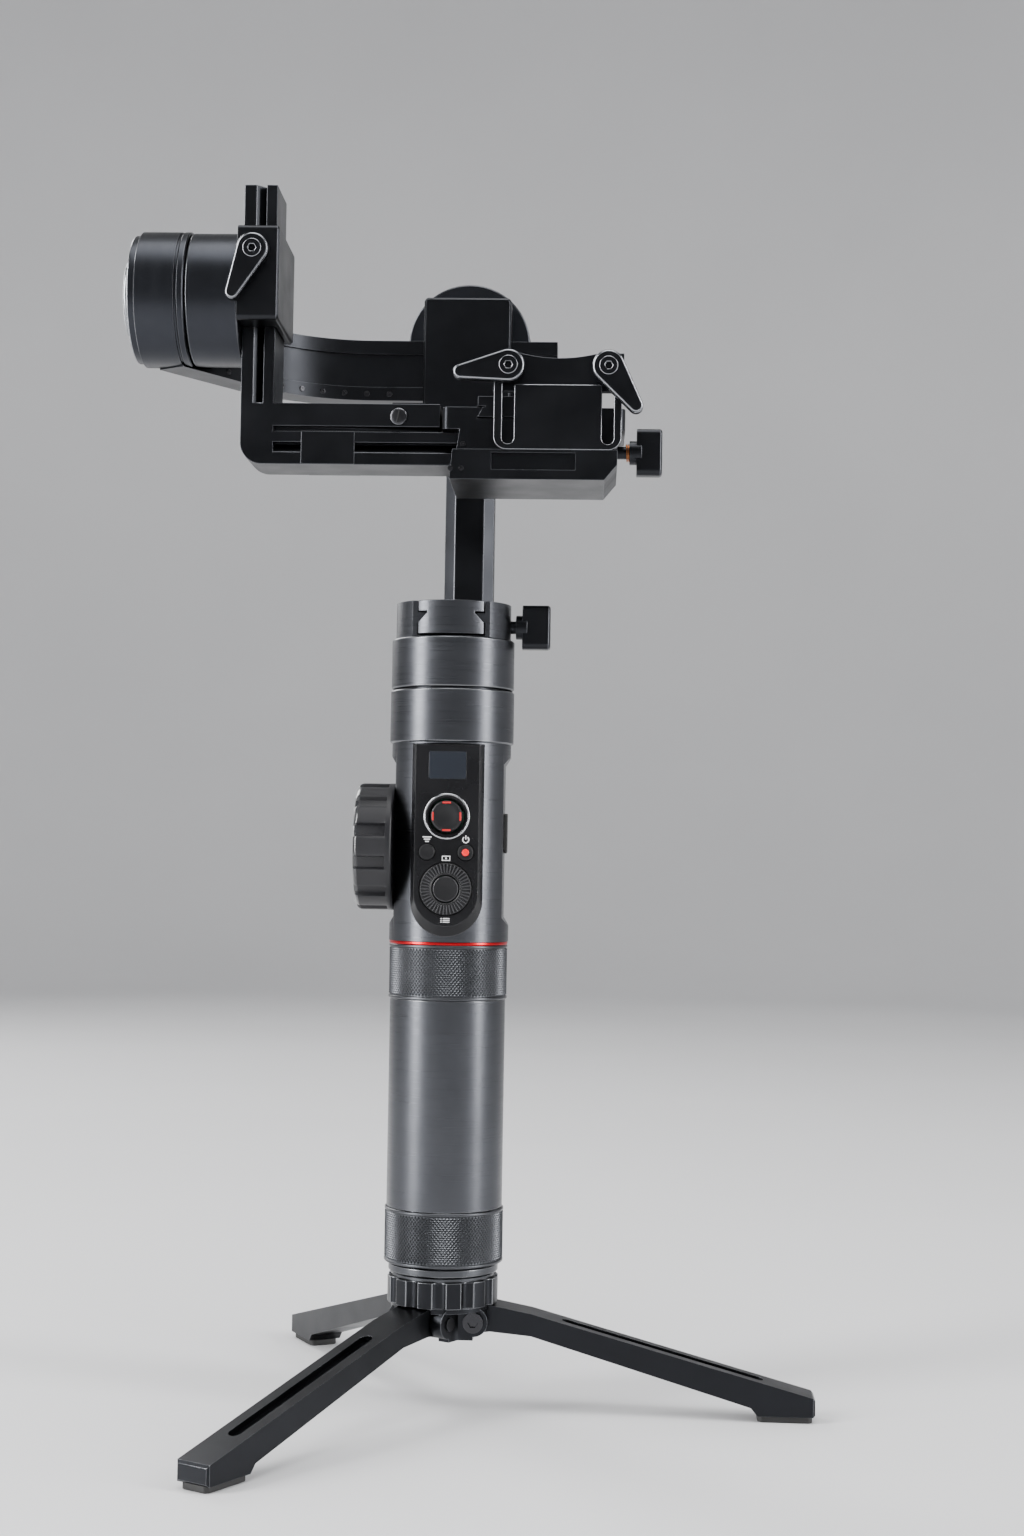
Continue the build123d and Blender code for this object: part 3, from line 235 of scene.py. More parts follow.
def addPiece(name, mesh, body, materials):
    piece = bpy.data.objects.new(name, mesh)
    scene.collection.objects.link(piece)
    if materials:
        mesh.materials.clear()
        for material in materials:
            mesh.materials.append(material)
    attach(piece, body)
    return piece


def meshOf(points, faces, name="shape"):
    mesh = bpy.data.meshes.new(name)
    mesh.from_pydata([tuple(point) for point in points], [], faces)
    return mesh


def tidyMesh(mesh, merge=0.002 * mm, recalculate=True):
    work = bmesh.new()
    work.from_mesh(mesh)
    bmesh.ops.remove_doubles(work, verts=work.verts, dist=merge)
    if recalculate:
        bmesh.ops.recalc_face_normals(work, faces=work.faces)
    work.to_mesh(mesh)
    work.free()
    return mesh


def breakEdges(piece, width, segments=2, sharpFrom=28):
    # outside corners get a small chamfer in the piece's second material, for most pieces a lighter copy that
    # paints a highlight on the edge; inside corners stay crisp
    work = bmesh.new()
    work.from_mesh(piece.data)
    weight = work.edges.layers.float.new("bevel_weight_edge")
    for face in work.faces:
        face.smooth = True
    for edge in work.edges:
        if len(edge.link_faces) != 2 or edge.calc_face_angle(0) < radians(sharpFrom):
            continue
        if edge.is_convex:
            edge[weight] = 1
        else:
            edge.smooth = False
    work.to_mesh(piece.data)
    work.free()
    bevel = piece.modifiers.new("brokenEdges", "BEVEL")
    bevel.limit_method = "WEIGHT"
    bevel.width = width
    bevel.segments = segments
    bevel.use_clamp_overlap = True
    bevel.material = min(1, len(piece.data.materials) - 1)
    level = piece.modifiers.new("flatFaces", "WEIGHTED_NORMAL")
    level.keep_sharp = True
    level.weight = 80
    return piece


def machined(node, name, surface, edge, width=0.25 * mm, segments=2):
    # a copy of the node's mesh, merged into flat faces and given chamfered edges in the edge material, which
    # for most pieces paints a highlight
    work = bmesh.new()
    work.from_mesh(frame["nodes"][node].data)
    bmesh.ops.remove_doubles(work, verts=work.verts, dist=0.002 * mm)
    bmesh.ops.dissolve_limit(work, angle_limit=radians(0.6), verts=work.verts, edges=work.edges)
    mesh = bpy.data.meshes.new(name)
    work.to_mesh(mesh)
    work.free()
    piece = addPiece(name, mesh, bodyOf[node], [surface, edge])
    breakEdges(piece, width, segments)
    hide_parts(node)
    return piece


def lathe(name, profile, matrix, body, materials, count=128, width=0.2 * mm, replaced=()):
    # profile is (radius, height) from axis to axis or a closed loop, turned about local z and then placed
    closed = profile[0][0] > 0
    points, faces, rings = [], [], []
    for radius, height in profile:
        if radius == 0:
            rings.append([len(points)])
            points.append(Vector((0, 0, height)))
        else:
            rings.append([len(points) + k for k in range(count)])
            points += [Vector((radius * cos(tau * k / count), radius * sin(tau * k / count), height))
                       for k in range(count)]
    pairs = list(zip(rings, rings[1:])) + ([(rings[-1], rings[0])] if closed else [])
    for lower, upper in pairs:
        for k in range(count):
            quad = [lower[k % len(lower)], lower[(k + 1) % len(lower)],
                    upper[(k + 1) % len(upper)], upper[k % len(upper)]]
            faces.append(list(dict.fromkeys(quad)))
    mesh = meshOf(points, faces, name)
    mesh.transform(matrix)
    tidyMesh(mesh)
    piece = addPiece(name, mesh, body, materials)
    breakEdges(piece, width)
    if replaced:
        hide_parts(*replaced)
    return piece


def arc(centreR, centreZ, radius, start, end, steps=6):
    return [(centreR + radius * cos(radians(start + (end - start) * k / steps)),
             centreZ + radius * sin(radians(start + (end - start) * k / steps))) for k in range(steps + 1)]


def flatShape(name, outlines, thickness, soften=0.0):
    # a flat plate in local xy from closed outlines, the inner ones being holes; its face is at local z = 0
    curve = bpy.data.curves.new(name, "CURVE")
    curve.dimensions = "2D"
    curve.fill_mode = "BOTH"
    curve.extrude = thickness / 2 - soften
    curve.bevel_depth = soften
    curve.bevel_resolution = 1
    curve.offset = -soften
    for outline in outlines:
        spline = curve.splines.new("POLY")
        spline.points.add(len(outline) - 1)
        for point, (x, y) in zip(spline.points, outline):
            point.co = (x, y, 0, 1)
        spline.use_cyclic_u = True
    holder = bpy.data.objects.new(name, curve)
    scene.collection.objects.link(holder)
    graph = bpy.context.evaluated_depsgraph_get()
    mesh = bpy.data.meshes.new_from_object(holder.evaluated_get(graph), depsgraph=graph)
    bpy.data.objects.remove(holder)
    mesh.transform(Matrix.Translation((0, 0, -thickness / 2)))
    return tidyMesh(mesh)


def circle(x, y, radius, count=64):
    return [(x + radius * cos(tau * k / count), y + radius * sin(tau * k / count)) for k in range(count)]


def joined(meshes, name):
    work = bmesh.new()
    for mesh in meshes:
        work.from_mesh(mesh)
    result = bpy.data.meshes.new(name)
    work.to_mesh(result)
    work.free()
    return result


# geometry nodes for what repeats

class Grower:
    # a small wrapper that writes one node tree and runs it once into a plain mesh
    def __init__(self, name, inputs):
        self.tree = bpy.data.node_groups.new(name, "GeometryNodeTree")
        self.tree.interface.new_socket("Result", in_out="OUTPUT", socket_type="NodeSocketGeometry")
        for label, kind in inputs.items():
            self.tree.interface.new_socket(label, in_out="INPUT", socket_type="NodeSocket" + kind)
        self.start = self.tree.nodes.new("NodeGroupInput").outputs

    def add(self, kind, inputs, **settings):
        node = self.tree.nodes.new(kind)
        for key, value in settings.items():
            setattr(node, key, value)
        for key, value in inputs.items():
            if isinstance(value, bpy.types.NodeSocket):
                self.tree.links.new(value, node.inputs[key])
            else:
                node.inputs[key].default_value = value
        return node.outputs[0]

    def calc(self, operation, first, second=0.0):
        return self.add("ShaderNodeMath", {0: first, 1: second}, operation=operation)

    def vector(self, x=0.0, y=0.0, z=0.0):
        return self.add("ShaderNodeCombineXYZ", {"X": x, "Y": y, "Z": z})

    def finishWith(self, instances, material):
        real = self.add("GeometryNodeRealizeInstances", {"Geometry": instances})
        painted = self.add("GeometryNodeSetMaterial", {"Geometry": real, "Material": material})
        last = self.tree.nodes.new("NodeGroupOutput")
        self.tree.links.new(painted, last.inputs[0])
        return self

    def grow(self, values, carrier=None):
        seed = bpy.data.objects.new("seed", carrier or bpy.data.meshes.new("seed"))
        scene.collection.objects.link(seed)
        modifier = seed.modifiers.new("grow", "NODES")
        modifier.node_group = self.tree
        for item in self.tree.interface.items_tree:
            if item.in_out == "INPUT" and item.name in values:
                modifier[item.identifier] = values[item.name]
        graph = bpy.context.evaluated_depsgraph_get()
        mesh = bpy.data.meshes.new_from_object(seed.evaluated_get(graph), depsgraph=graph)
        seed.modifiers.clear()
        bpy.data.objects.remove(seed)
        return mesh


def buildKnurlTree():
    # four-sided points in staggered rows round a cylinder
    g = Grower("diamondKnurl", {"Radius": "Float", "Low": "Float", "Columns": "Int", "Rows": "Int",
                                "Row Step": "Float", "Tooth": "Float", "Surface": "Material"})
    total = g.calc("MULTIPLY", g.start["Columns"], g.start["Rows"])
    index = g.add("GeometryNodeInputIndex", {})
    row = g.calc("FLOOR", g.calc("DIVIDE", index, g.start["Columns"]))
    shifted = g.calc("ADD", index, g.calc("MULTIPLY", g.calc("MODULO", row, 2.0), 0.5))
    turn = g.calc("MULTIPLY", g.calc("DIVIDE", shifted, g.start["Columns"]), tau)
    height = g.calc("ADD", g.start["Low"], g.calc("MULTIPLY", row, g.start["Row Step"]))
    place = g.vector(g.calc("MULTIPLY", g.calc("COSINE", turn), g.start["Radius"]),
                     g.calc("MULTIPLY", g.calc("SINE", turn), g.start["Radius"]), height)
    points = g.add("GeometryNodePoints", {"Count": total, "Position": place})
    halfWide = g.calc("MULTIPLY", g.calc("DIVIDE", g.start["Radius"], g.start["Columns"]), pi)
    tooth = g.add("GeometryNodeMeshCone", {
        "Vertices": 4, "Radius Top": 0.0, "Radius Bottom": 1.0, "Depth": 1.0})
    size = g.vector(g.start["Row Step"], halfWide, g.start["Tooth"])
    instances = g.add("GeometryNodeInstanceOnPoints", {
        "Points": points, "Instance": tooth, "Rotation": g.vector(0.0, pi / 2, turn), "Scale": size})
    return g.finishWith(instances, g.start["Surface"])


def buildRingTree():
    # the same tooth many times round an axis
    g = Grower("ringOfTeeth", {"Tooth": "Object", "Count": "Int", "Radius": "Float", "Surface": "Material"})
    index = g.add("GeometryNodeInputIndex", {})
    turn = g.calc("MULTIPLY", g.calc("DIVIDE", index, g.start["Count"]), tau)
    place = g.vector(g.calc("MULTIPLY", g.calc("COSINE", turn), g.start["Radius"]),
                     g.calc("MULTIPLY", g.calc("SINE", turn), g.start["Radius"]), 0.0)
    points = g.add("GeometryNodePoints", {"Count": g.start["Count"], "Position": place})
    toothInfo = g.tree.nodes.new("GeometryNodeObjectInfo")
    g.tree.links.new(g.start["Tooth"], toothInfo.inputs["Object"])
    instances = g.add("GeometryNodeInstanceOnPoints", {
        "Points": points, "Instance": toothInfo.outputs["Geometry"], "Rotation": g.vector(0.0, 0.0, turn)})
    return g.finishWith(instances, g.start["Surface"])


def buildRowTree():
    # the same tooth many times along local x
    g = Grower("rowOfTeeth", {"Tooth": "Object", "Count": "Int", "Step": "Float", "Surface": "Material"})
    index = g.add("GeometryNodeInputIndex", {})
    place = g.vector(g.calc("MULTIPLY", index, g.start["Step"]), 0.0, 0.0)
    points = g.add("GeometryNodePoints", {"Count": g.start["Count"], "Position": place})
    toothInfo = g.tree.nodes.new("GeometryNodeObjectInfo")
    g.tree.links.new(g.start["Tooth"], toothInfo.inputs["Object"])
    instances = g.add("GeometryNodeInstanceOnPoints", {
        "Points": points, "Instance": toothInfo.outputs["Geometry"]})
    return g.finishWith(instances, g.start["Surface"])


def buildScatterTree():
    # one screw on each point of a carrier, turned to face along the point's own direction
    g = Grower("screwsOnPoints", {"Points": "Geometry", "Screw": "Object", "Surface": "Material"})
    facing = g.add("GeometryNodeInputNamedAttribute", {"Name": "facing"}, data_type="FLOAT_VECTOR")
    turned = g.add("FunctionNodeAlignRotationToVector", {"Vector": facing}, axis="Z")
    screwInfo = g.tree.nodes.new("GeometryNodeObjectInfo")
    g.tree.links.new(g.start["Screw"], screwInfo.inputs["Object"])
    instances = g.add("GeometryNodeInstanceOnPoints", {
        "Points": g.start["Points"], "Instance": screwInfo.outputs["Geometry"], "Rotation": turned})
    return g.finishWith(instances, g.start["Surface"])


knurlTree = buildKnurlTree()
ringTree = buildRingTree()
rowTree = buildRowTree()
scatterTree = buildScatterTree()
print("node trees ready")


tools = []  # meshes that only the trees use, removed once they have run


def toolObject(mesh, name):
    tool = bpy.data.objects.new(name, mesh)
    scene.collection.objects.link(tool)
    tools.append(tool)
    return tool


def ridgeMesh(length, width, height, name="ridge"):
    # a rounded bar along local x, its foot a little below z = 0
    section = [(-width / 2, -0.1 * mm)] + [
        (width / 2 * cos(radians(180 - 30 * k)), height * sin(radians(30 * k))) for k in range(7)
    ] + [(width / 2, -0.1 * mm)]
    count = len(section)
    points = [(x, y, z) for x in (-length / 2, length / 2) for y, z in section]
    faces = [[k, (k + 1) % count, count + (k + 1) % count, count + k] for k in range(count)]
    faces += [list(range(count - 1, -1, -1)), list(range(count, 2 * count))]
    return tidyMesh(meshOf(points, faces, name))


def screwMesh(radius, head, socket, name="screw", sides=6, count=24):
    # a low domed head with a real socket; its underside is just below z = 0
    lift = head * 0.35
    rings = [(radius, -0.1 * mm), (radius, lift), (radius * 0.86, head * 0.9), (socket * 1.3, head)]
    points = [Vector((r * cos(tau * k / count), r * sin(tau * k / count), z))
              for r, z in rings for k in range(count)]
    faces = [list(range(count - 1, -1, -1))]
    for ring in range(len(rings) - 1):
        faces += [[ring * count + k, ring * count + (k + 1) % count,
                   (ring + 1) * count + (k + 1) % count, (ring + 1) * count + k] for k in range(count)]
    last = (len(rings) - 1) * count
    start = len(points)
    flat = cos(pi / sides)
    for z in (head, head * 0.25):
        for k in range(count):
            turn = tau * k / count
            within = (turn + pi / sides) % (tau / sides) - pi / sides
            reach = socket * flat / cos(within)
            points.append(Vector((reach * cos(turn), reach * sin(turn), z)))
    for k in range(count):
        n = (k + 1) % count
        faces.append([last + k, last + n, start + n, start + k])
        faces.append([start + k, start + n, start + count + n, start + count + k])
    faces.append([start + count + k for k in range(count)])
    return meshOf(points, faces, name)


def screws(name, body, spots, size, surface, socket=0.45, head=0.35):
    # spots are (place, facing); size is the head's radius
    carrier = meshOf([place for place, facing in spots], [], name)
    facing = carrier.attributes.new("facing", "FLOAT_VECTOR", "POINT")
    for k, (place, direction) in enumerate(spots):
        facing.data[k].vector = Vector(direction).normalized()
    screw = toolObject(screwMesh(size, size * head, size * socket), name + "Tool")
    mesh = scatterTree.grow({"Screw": screw, "Surface": surface}, carrier)
    return addPiece(name, mesh, body, [surface])


# tripod

tripodLook = {"edge": 0.28 * mm, "legEdge": 0.45 * mm, "softEdge": 0.3 * mm, "screwEdge": 0.15 * mm}
machined("tripod_hub", "tripodHub", blackSatin, blackEdgeHighlight, tripodLook["edge"])
machined("leg_hinge_pins", "legHingeScrews", screwBlack, blackEdgeHighlight, tripodLook["screwEdge"])
for letter in "abc":
    machined(f"leg_{letter}", f"tripodLeg{letter.upper()}", blackSatin, brightEdgeHighlight, tripodLook["legEdge"], 3)
    machined(f"foot_{letter}", f"legPad{letter.upper()}", rubber, rubber, tripodLook["softEdge"])
machined("tripod_collar", "tripodCollar", blackSatin, gunmetalEdgeHighlight, tripodLook["softEdge"], 3)
print("tripod made")


# handle

def along(node):
    low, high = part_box(node)
    return low.z, high.z, (high.x - low.x) / 2


def ringSection(outer, inner, low, high, chamfer):
    return [(inner, low), (outer - chamfer, low), (outer, low + chamfer), (outer, high - chamfer),
            (outer - chamfer, high), (inner, high)]


knurlLook = {"columns": 100, "tooth": 0.52 * mm, "lip": 1.1 * mm, "sunk": 0.50 * mm}
onPanAxis = Matrix.Translation((panAxis.x, panAxis.y, 0))


def knurledRing(node, name, innerRadius):
    low, high, radius = along(node)
    valley = radius - knurlLook["sunk"]
    lip = knurlLook["lip"]
    profile = [(innerRadius, low), (radius - 0.35 * mm, low), (radius, low + 0.35 * mm), (radius, low + lip),
               (valley, low + lip + 0.3 * mm), (valley, high - lip - 0.3 * mm), (radius, high - lip),
               (radius, high - 0.35 * mm), (radius - 0.35 * mm, high), (innerRadius, high)]
    if innerRadius == 0:
        profile = [(0, low)] + profile[1:-1] + [(0, high)]
    lathe(name, profile, onPanAxis, bodyOf[node], [knurlMetal, knurlMetal], width=0.12 * mm,
          replaced=[node])
    span = high - low - 2 * lip - 0.3 * mm
    halfRow = pi * valley / knurlLook["columns"] * 1.15
    rows = int(span / halfRow) - 1
    step = span / (rows + 1)
    teeth = knurlTree.grow({"Radius": valley - 0.06 * mm, "Low": low + lip + 0.15 * mm + step,
                            "Columns": knurlLook["columns"], "Rows": rows, "Row Step": step,
                            "Tooth": knurlLook["tooth"], "Surface": knurlMetal})
    teeth.transform(onPanAxis)
    addPiece(name + "Knurl", teeth, bodyOf[node], [knurlMetal])


tubeLook = {
    "studHole": 3.2 * mm,
    "footStep": 1.4 * mm,  # the base ring's narrow foot
    "footHigh": 1.2 * mm,
    "baseChamfer": 0.9 * mm,
    "gripWall": 2.0 * mm,
    "knurlBore": 20.5 * mm,
    "redWall": 4.0 * mm,
    "sides": 160,
}


def handleTubes():
    look = tubeLook
    low, high, radius = along("base_ring")
    lathe("baseRing", [(look["studHole"], low), (radius - look["footStep"], low),
                       (radius - look["footStep"], low + look["footHigh"]),
                       (radius, low + look["footHigh"] + 1.0 * mm), (radius, high - look["baseChamfer"]),
                       (radius - look["baseChamfer"], high), (look["studHole"], high)],
          onPanAxis, "handle", [knurlMetal, gunmetalEdgeHighlight], replaced=["base_ring"])
    knurledRing("battery_cap", "batteryCap", 0)
    low, high, radius = along("grip_tube")
    lathe("gripTube", ringSection(radius, radius - look["gripWall"], low, high, 0.25 * mm), onPanAxis,
          "handle", [gunmetal, gunmetalEdgeHighlight], count=look["sides"],
          replaced=["grip_tube"])
    knurledRing("upper_knurl_ring", "upperGripRing", look["knurlBore"])
    low, high, radius = along("red_ring")
    lathe("redAccentRing", ringSection(radius, radius - look["redWall"], low, high, 0.2 * mm), onPanAxis,
          "handle", [redAnodised, redAnodised], count=look["sides"], width=0.1 * mm,
          replaced=["red_ring"])


handleTubes()
machined("handle_body", "handleBody", gunmetal, gunmetalEdgeHighlight, 0.3 * mm, 3)
machined("port_cover", "portCover", rubber, rubber, 0.3 * mm)
machined("yaw_stator_housing", "panMotorLower", gunmetal, gunmetalEdgeHighlight, 0.2 * mm)
machined("yaw_rotor_housing", "panMotorUpper", gunmetal, gunmetalEdgeHighlight, 0.2 * mm)
machined("clamp_drum", "panClampDrum", gunmetal, gunmetalEdgeHighlight, 0.3 * mm)
machined("yaw_lock_knob", "panArmKnob", blackSatin, blackEdgeHighlight, 0.3 * mm)
print("handle made")


# control panel

panelLow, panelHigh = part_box("control_panel")
panelLook = {
    "shoulder": 1.65 * mm,  # how far the flat face stands in from the sides
    "chin": 4.2 * mm,  # and from the round lower end
    "thick": 2.5 * mm,
    "sink": 4.0 * mm,
    "ink": 0.03 * mm,
}


def panelOutline(half, top, foot, radius, count=60):
    # down the left side, round the lower end and up the right side, in x and z
    centre = foot + radius
    side = [(-half, top + (centre - top) * k / 10) for k in range(10)]
    bottom = [(half * cos(pi + pi * k / count), centre + radius * sin(pi + pi * k / count))
              for k in range(count + 1)]
    return side + bottom + [(-x, z) for x, z in reversed(side)]


def controlPanel():
    centreX = panAxis.x
    half = (panelHigh.x - panelLow.x) / 2
    face = panelLow.y
    bodyRadius = along("handle_body")[2]
    outer = panelOutline(half, panelHigh.z, panelLow.z, half)
    innerHalf = half - panelLook["shoulder"]
    inner = panelOutline(innerHalf, panelHigh.z - 0.5 * mm, panelLow.z + panelLook["chin"], innerHalf)
    points, rows = [], []
    for outline, kind in ((inner, "face"), (outer, "skin"), (outer, "back"), (inner, "back")):
        row = []
        for x, z in outline:
            y = face
            if kind == "skin":
                y = panAxis.y - sqrt(bodyRadius ** 2 - x ** 2) - 0.25 * mm
            if kind == "back":
                y = face + panelLook["sink"] + (4 * mm if abs(x) > 8 * mm else 0)
            row.append(len(points))
            points.append((centreX + x, y, z))
        rows.append(row)
    faces = []
    count = len(inner)
    for first, second in zip(rows, rows[1:] + rows[:1]):
        faces += [[first[k], first[(k + 1) % count], second[(k + 1) % count], second[k]]
                  for k in range(count)]
    rim = addPiece("panelRim", tidyMesh(meshOf(points, faces)), "handle",
                   [panelGloss, panelEdgeHighlight])
    breakEdges(rim, 0.25 * mm, 3, sharpFrom=20)

    low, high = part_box("display_window")
    display = [(low.x - centreX, low.z), (high.x - centreX, low.z), (high.x - centreX, high.z),
               (low.x - centreX, high.z)]
    holes = [display]
    stick = middle("joystick_ring")
    holes.append(circle(0, stick.z, halfWide("joystick_ring") - 0.6 * mm))
    for button in ("mode_button", "power_button"):
        centre = middle(button)
        holes.append(circle(centre.x - centreX, centre.z, 3.2 * mm, 40))
    dial = middle("control_dial")
    holes.append(circle(0, dial.z, halfWide("control_dial") + 0.3 * mm, 96))
    plate = flatShape("panelFace", [inner] + holes, panelLook["thick"], 0.12 * mm)
    plate.transform(Matrix.Translation((centreX, face, 0)) @ front)
    piece = addPiece("panelFace", plate, "handle", [panelGloss])
    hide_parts("control_panel")

    # the dial and the buttons sit over a dark floor
    floorShape = flatShape("panelFloor", [panelOutline(innerHalf - 1 * mm, panelHigh.z - 1 * mm,
                                                       panelLow.z + 6 * mm, innerHalf - 1 * mm),
                                          circle(0, stick.z, 7.4 * mm),
                                          circle(-7.4 * mm, middle("mode_button").z, 3.9 * mm, 40),
                                          circle(7.4 * mm, middle("mode_button").z, 3.9 * mm, 40),
                                          circle(0, dial.z, 6.6 * mm)], 0.6 * mm)
    floorShape.transform(Matrix.Translation((centreX, face + 1.0 * mm, 0)) @ front)
    addPiece("panelFloor", floorShape, "handle", [buttonSatin])


controlPanel()


def displayGlass():
    low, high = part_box("display_window")
    centre = (low + high) / 2
    width, height = high.x - low.x, high.z - low.z
    corners = []
    for sx, sy, start in ((1, 1, 0), (-1, 1, 90), (-1, -1, 180), (1, -1, 270)):
        corners += [(sx * (width / 2 - 0.9 * mm) + x, sy * (height / 2 - 0.9 * mm) + y)
                    for x, y in arc(0, 0, 0.8 * mm, start, start + 90)]
    glass = flatShape("displayGlass", [corners], 0.7 * mm, 0.1 * mm)
    glass.transform(Matrix.Translation((centre.x, low.y + 0.06 * mm, centre.z)) @ front)
    piece = addPiece("displayGlass", glass, "handle", [glassBlack])
    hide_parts("display_window")


displayGlass()


def inkBar(x, y, width, height):
    return [(x - width / 2, y - height / 2), (x + width / 2, y - height / 2),
            (x + width / 2, y + height / 2), (x - width / 2, y + height / 2)]


def inkArc(radius, width, start, end, steps=20):
    return (arc(0, 0, radius + width / 2, start, end, steps)
            + arc(0, 0, radius - width / 2, end, start, steps))


def printSymbols():
    # plain symbols in place of words: three bars, a standby ring, a viewfinder and a list
    marks = []
    buttons = middle("mode_button")
    dial = middle("control_dial")
    dialRadius = halfWide("control_dial")
    top = buttons.z + 4.9 * mm

    def stamp(outlines, x, z):
        mesh = flatShape("ink", outlines, panelLook["ink"])
        mesh.transform(Matrix.Translation((panAxis.x + x, panelLow.y - panelLook["ink"] * 0.8, z)) @ front)
        marks.append(mesh)

    for k, width in enumerate((3.4, 2.4, 1.4)):
        stamp([inkBar(0, (0.85 - 0.85 * k) * mm, width * mm, 0.42 * mm)], -7.4 * mm, top)
    stamp([inkArc(1.15 * mm, 0.42 * mm, 125, 415)], 7.4 * mm, top)
    stamp([inkBar(0, 0.85 * mm, 0.42 * mm, 1.5 * mm)], 7.4 * mm, top)
    view = dial.z + dialRadius + 1.7 * mm
    stamp([inkBar(0, 0, 3.2 * mm, 1.9 * mm), inkBar(0, 0, 2.6 * mm, 1.3 * mm)], 0, view)
    stamp([circle(0, 0, 0.36 * mm, 20)], 0, view)
    foot = dial.z - dialRadius - 1.9 * mm
    for k in range(3):
        stamp([inkBar(0.4 * mm, (0.7 - 0.7 * k) * mm, 2.6 * mm, 0.3 * mm)], 0, foot)
        stamp([inkBar(-1.5 * mm, (0.7 - 0.7 * k) * mm, 0.5 * mm, 0.3 * mm)], 0, foot)
    addPiece("panelSymbols", joined(marks, "panelSymbols"), "handle", [whiteInk])


printSymbols()


def facing(node):
    # a frame on the node's front face: origin on its axis, local z towards the user
    low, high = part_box(node)
    return Matrix.Translation(((low.x + high.x) / 2, low.y, (low.z + high.z) / 2)) @ front


joystickLook = {
    "ringWall": 1.15 * mm,
    "ringRound": 0.55 * mm,
    "dishGap": 0.8 * mm,  # room for the cap to lean
    "markOut": 5.25 * mm,
    "markLong": 3.2 * mm,
    "markWide": 0.62 * mm,
    "markThick": 0.06 * mm,
}


def joystick():
    look = joystickLook
    low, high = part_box("joystick_ring")
    radius = (high.x - low.x) / 2
    lip = radius - look["ringWall"]
    lathe("joystickRing", [(lip, -2.0 * mm), (radius, -2.0 * mm)]
          + arc(radius - look["ringRound"], -look["ringRound"], look["ringRound"], 0, 100, 6)
          + [(lip, -0.5 * mm)],
          facing("joystick_ring"), "handle", [silver, silver], width=0.05 * mm,
          replaced=["joystick_ring"])
    low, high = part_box("joystick_cap")
    capRadius = (high.x - low.x) / 2
    lathe("joystickDish", [(lip + 0.1 * mm, -1.9 * mm), (lip + 0.1 * mm, -0.75 * mm),
                           (lip - 0.4 * mm, -1.0 * mm), (capRadius + look["dishGap"], -1.3 * mm),
                           (capRadius + look["dishGap"], -1.9 * mm)],
          facing("joystick_ring"), "handle", [buttonSatin, panelEdgeHighlight], width=0.05 * mm)
    radius = capRadius
    place = facing("joystick_cap")
    lathe("joystickCap", [(0, -0.55 * mm), (2.2 * mm, -0.45 * mm), (3.6 * mm, -0.15 * mm), (4.4 * mm, 0),
                          (radius - 0.7 * mm, -0.05 * mm), (radius - 0.2 * mm, -0.3 * mm),
                          (radius, -0.8 * mm), (radius, -1.8 * mm),
                          (1.8 * mm, -2.0 * mm), (1.8 * mm, -5.6 * mm), (0, -5.6 * mm)],
          place, "joystick", [buttonSatin, buttonSatin], width=0.1 * mm,
          replaced=["joystick_cap"])
    marks = []
    for k in range(4):
        bar = inkBar(0, look["markOut"], look["markLong"], look["markWide"])
        mark = flatShape("mark", [bar], look["markThick"])
        mark.transform(place @ Matrix.Rotation(k * pi / 2, 4, "Z")
                       @ Matrix.Translation((0, 0, look["markThick"] / 2)))
        marks.append(mark)
    addPiece("joystickMarks", joined(marks, "joystickMarks"), "joystick", [redInk])


joystick()


buttonLook = {"radius": 3.0 * mm, "skirt": 3.6 * mm, "lamp": 1.35 * mm, "lampHigh": 0.32 * mm}


def pushButtons():
    radius, skirt = buttonLook["radius"], buttonLook["skirt"]
    lamp, lampHigh = buttonLook["lamp"], buttonLook["lampHigh"]
    for node, name in (("mode_button", "modeButton"), ("power_button", "powerButton")):
        lathe(name, [(0, -0.22 * mm), (1.6 * mm, -0.14 * mm), (2.3 * mm, 0), (radius - 0.3 * mm, -0.02 * mm),
                     (radius, -0.3 * mm), (radius, -3.4 * mm), (skirt, -3.4 * mm), (skirt, -4.2 * mm),
                     (0, -4.2 * mm)], facing(node), bodyOf[node], [buttonSatin, buttonSatin],
              count=64, width=0.06 * mm, replaced=[node])
    dome = [(lamp * sin(radians(a)), lampHigh * cos(radians(a))) for a in (20, 40, 60, 75, 88)]
    lathe("powerLamp", [(0, lampHigh)] + dome + [(lamp, -0.3 * mm), (0, -0.3 * mm)],
          facing("power_button"), "power_button", [ledRed, ledRed], count=48, width=0.02 * mm)


pushButtons()


dialLook = {
    "hole": 5.3 * mm,
    "ridges": 42,
    "ridgeLong": 3.6 * mm,
    "ridgeWide": 0.66 * mm,
    "ridgeHigh": 0.46 * mm,
    "ridgeIn": 2.1 * mm,
}


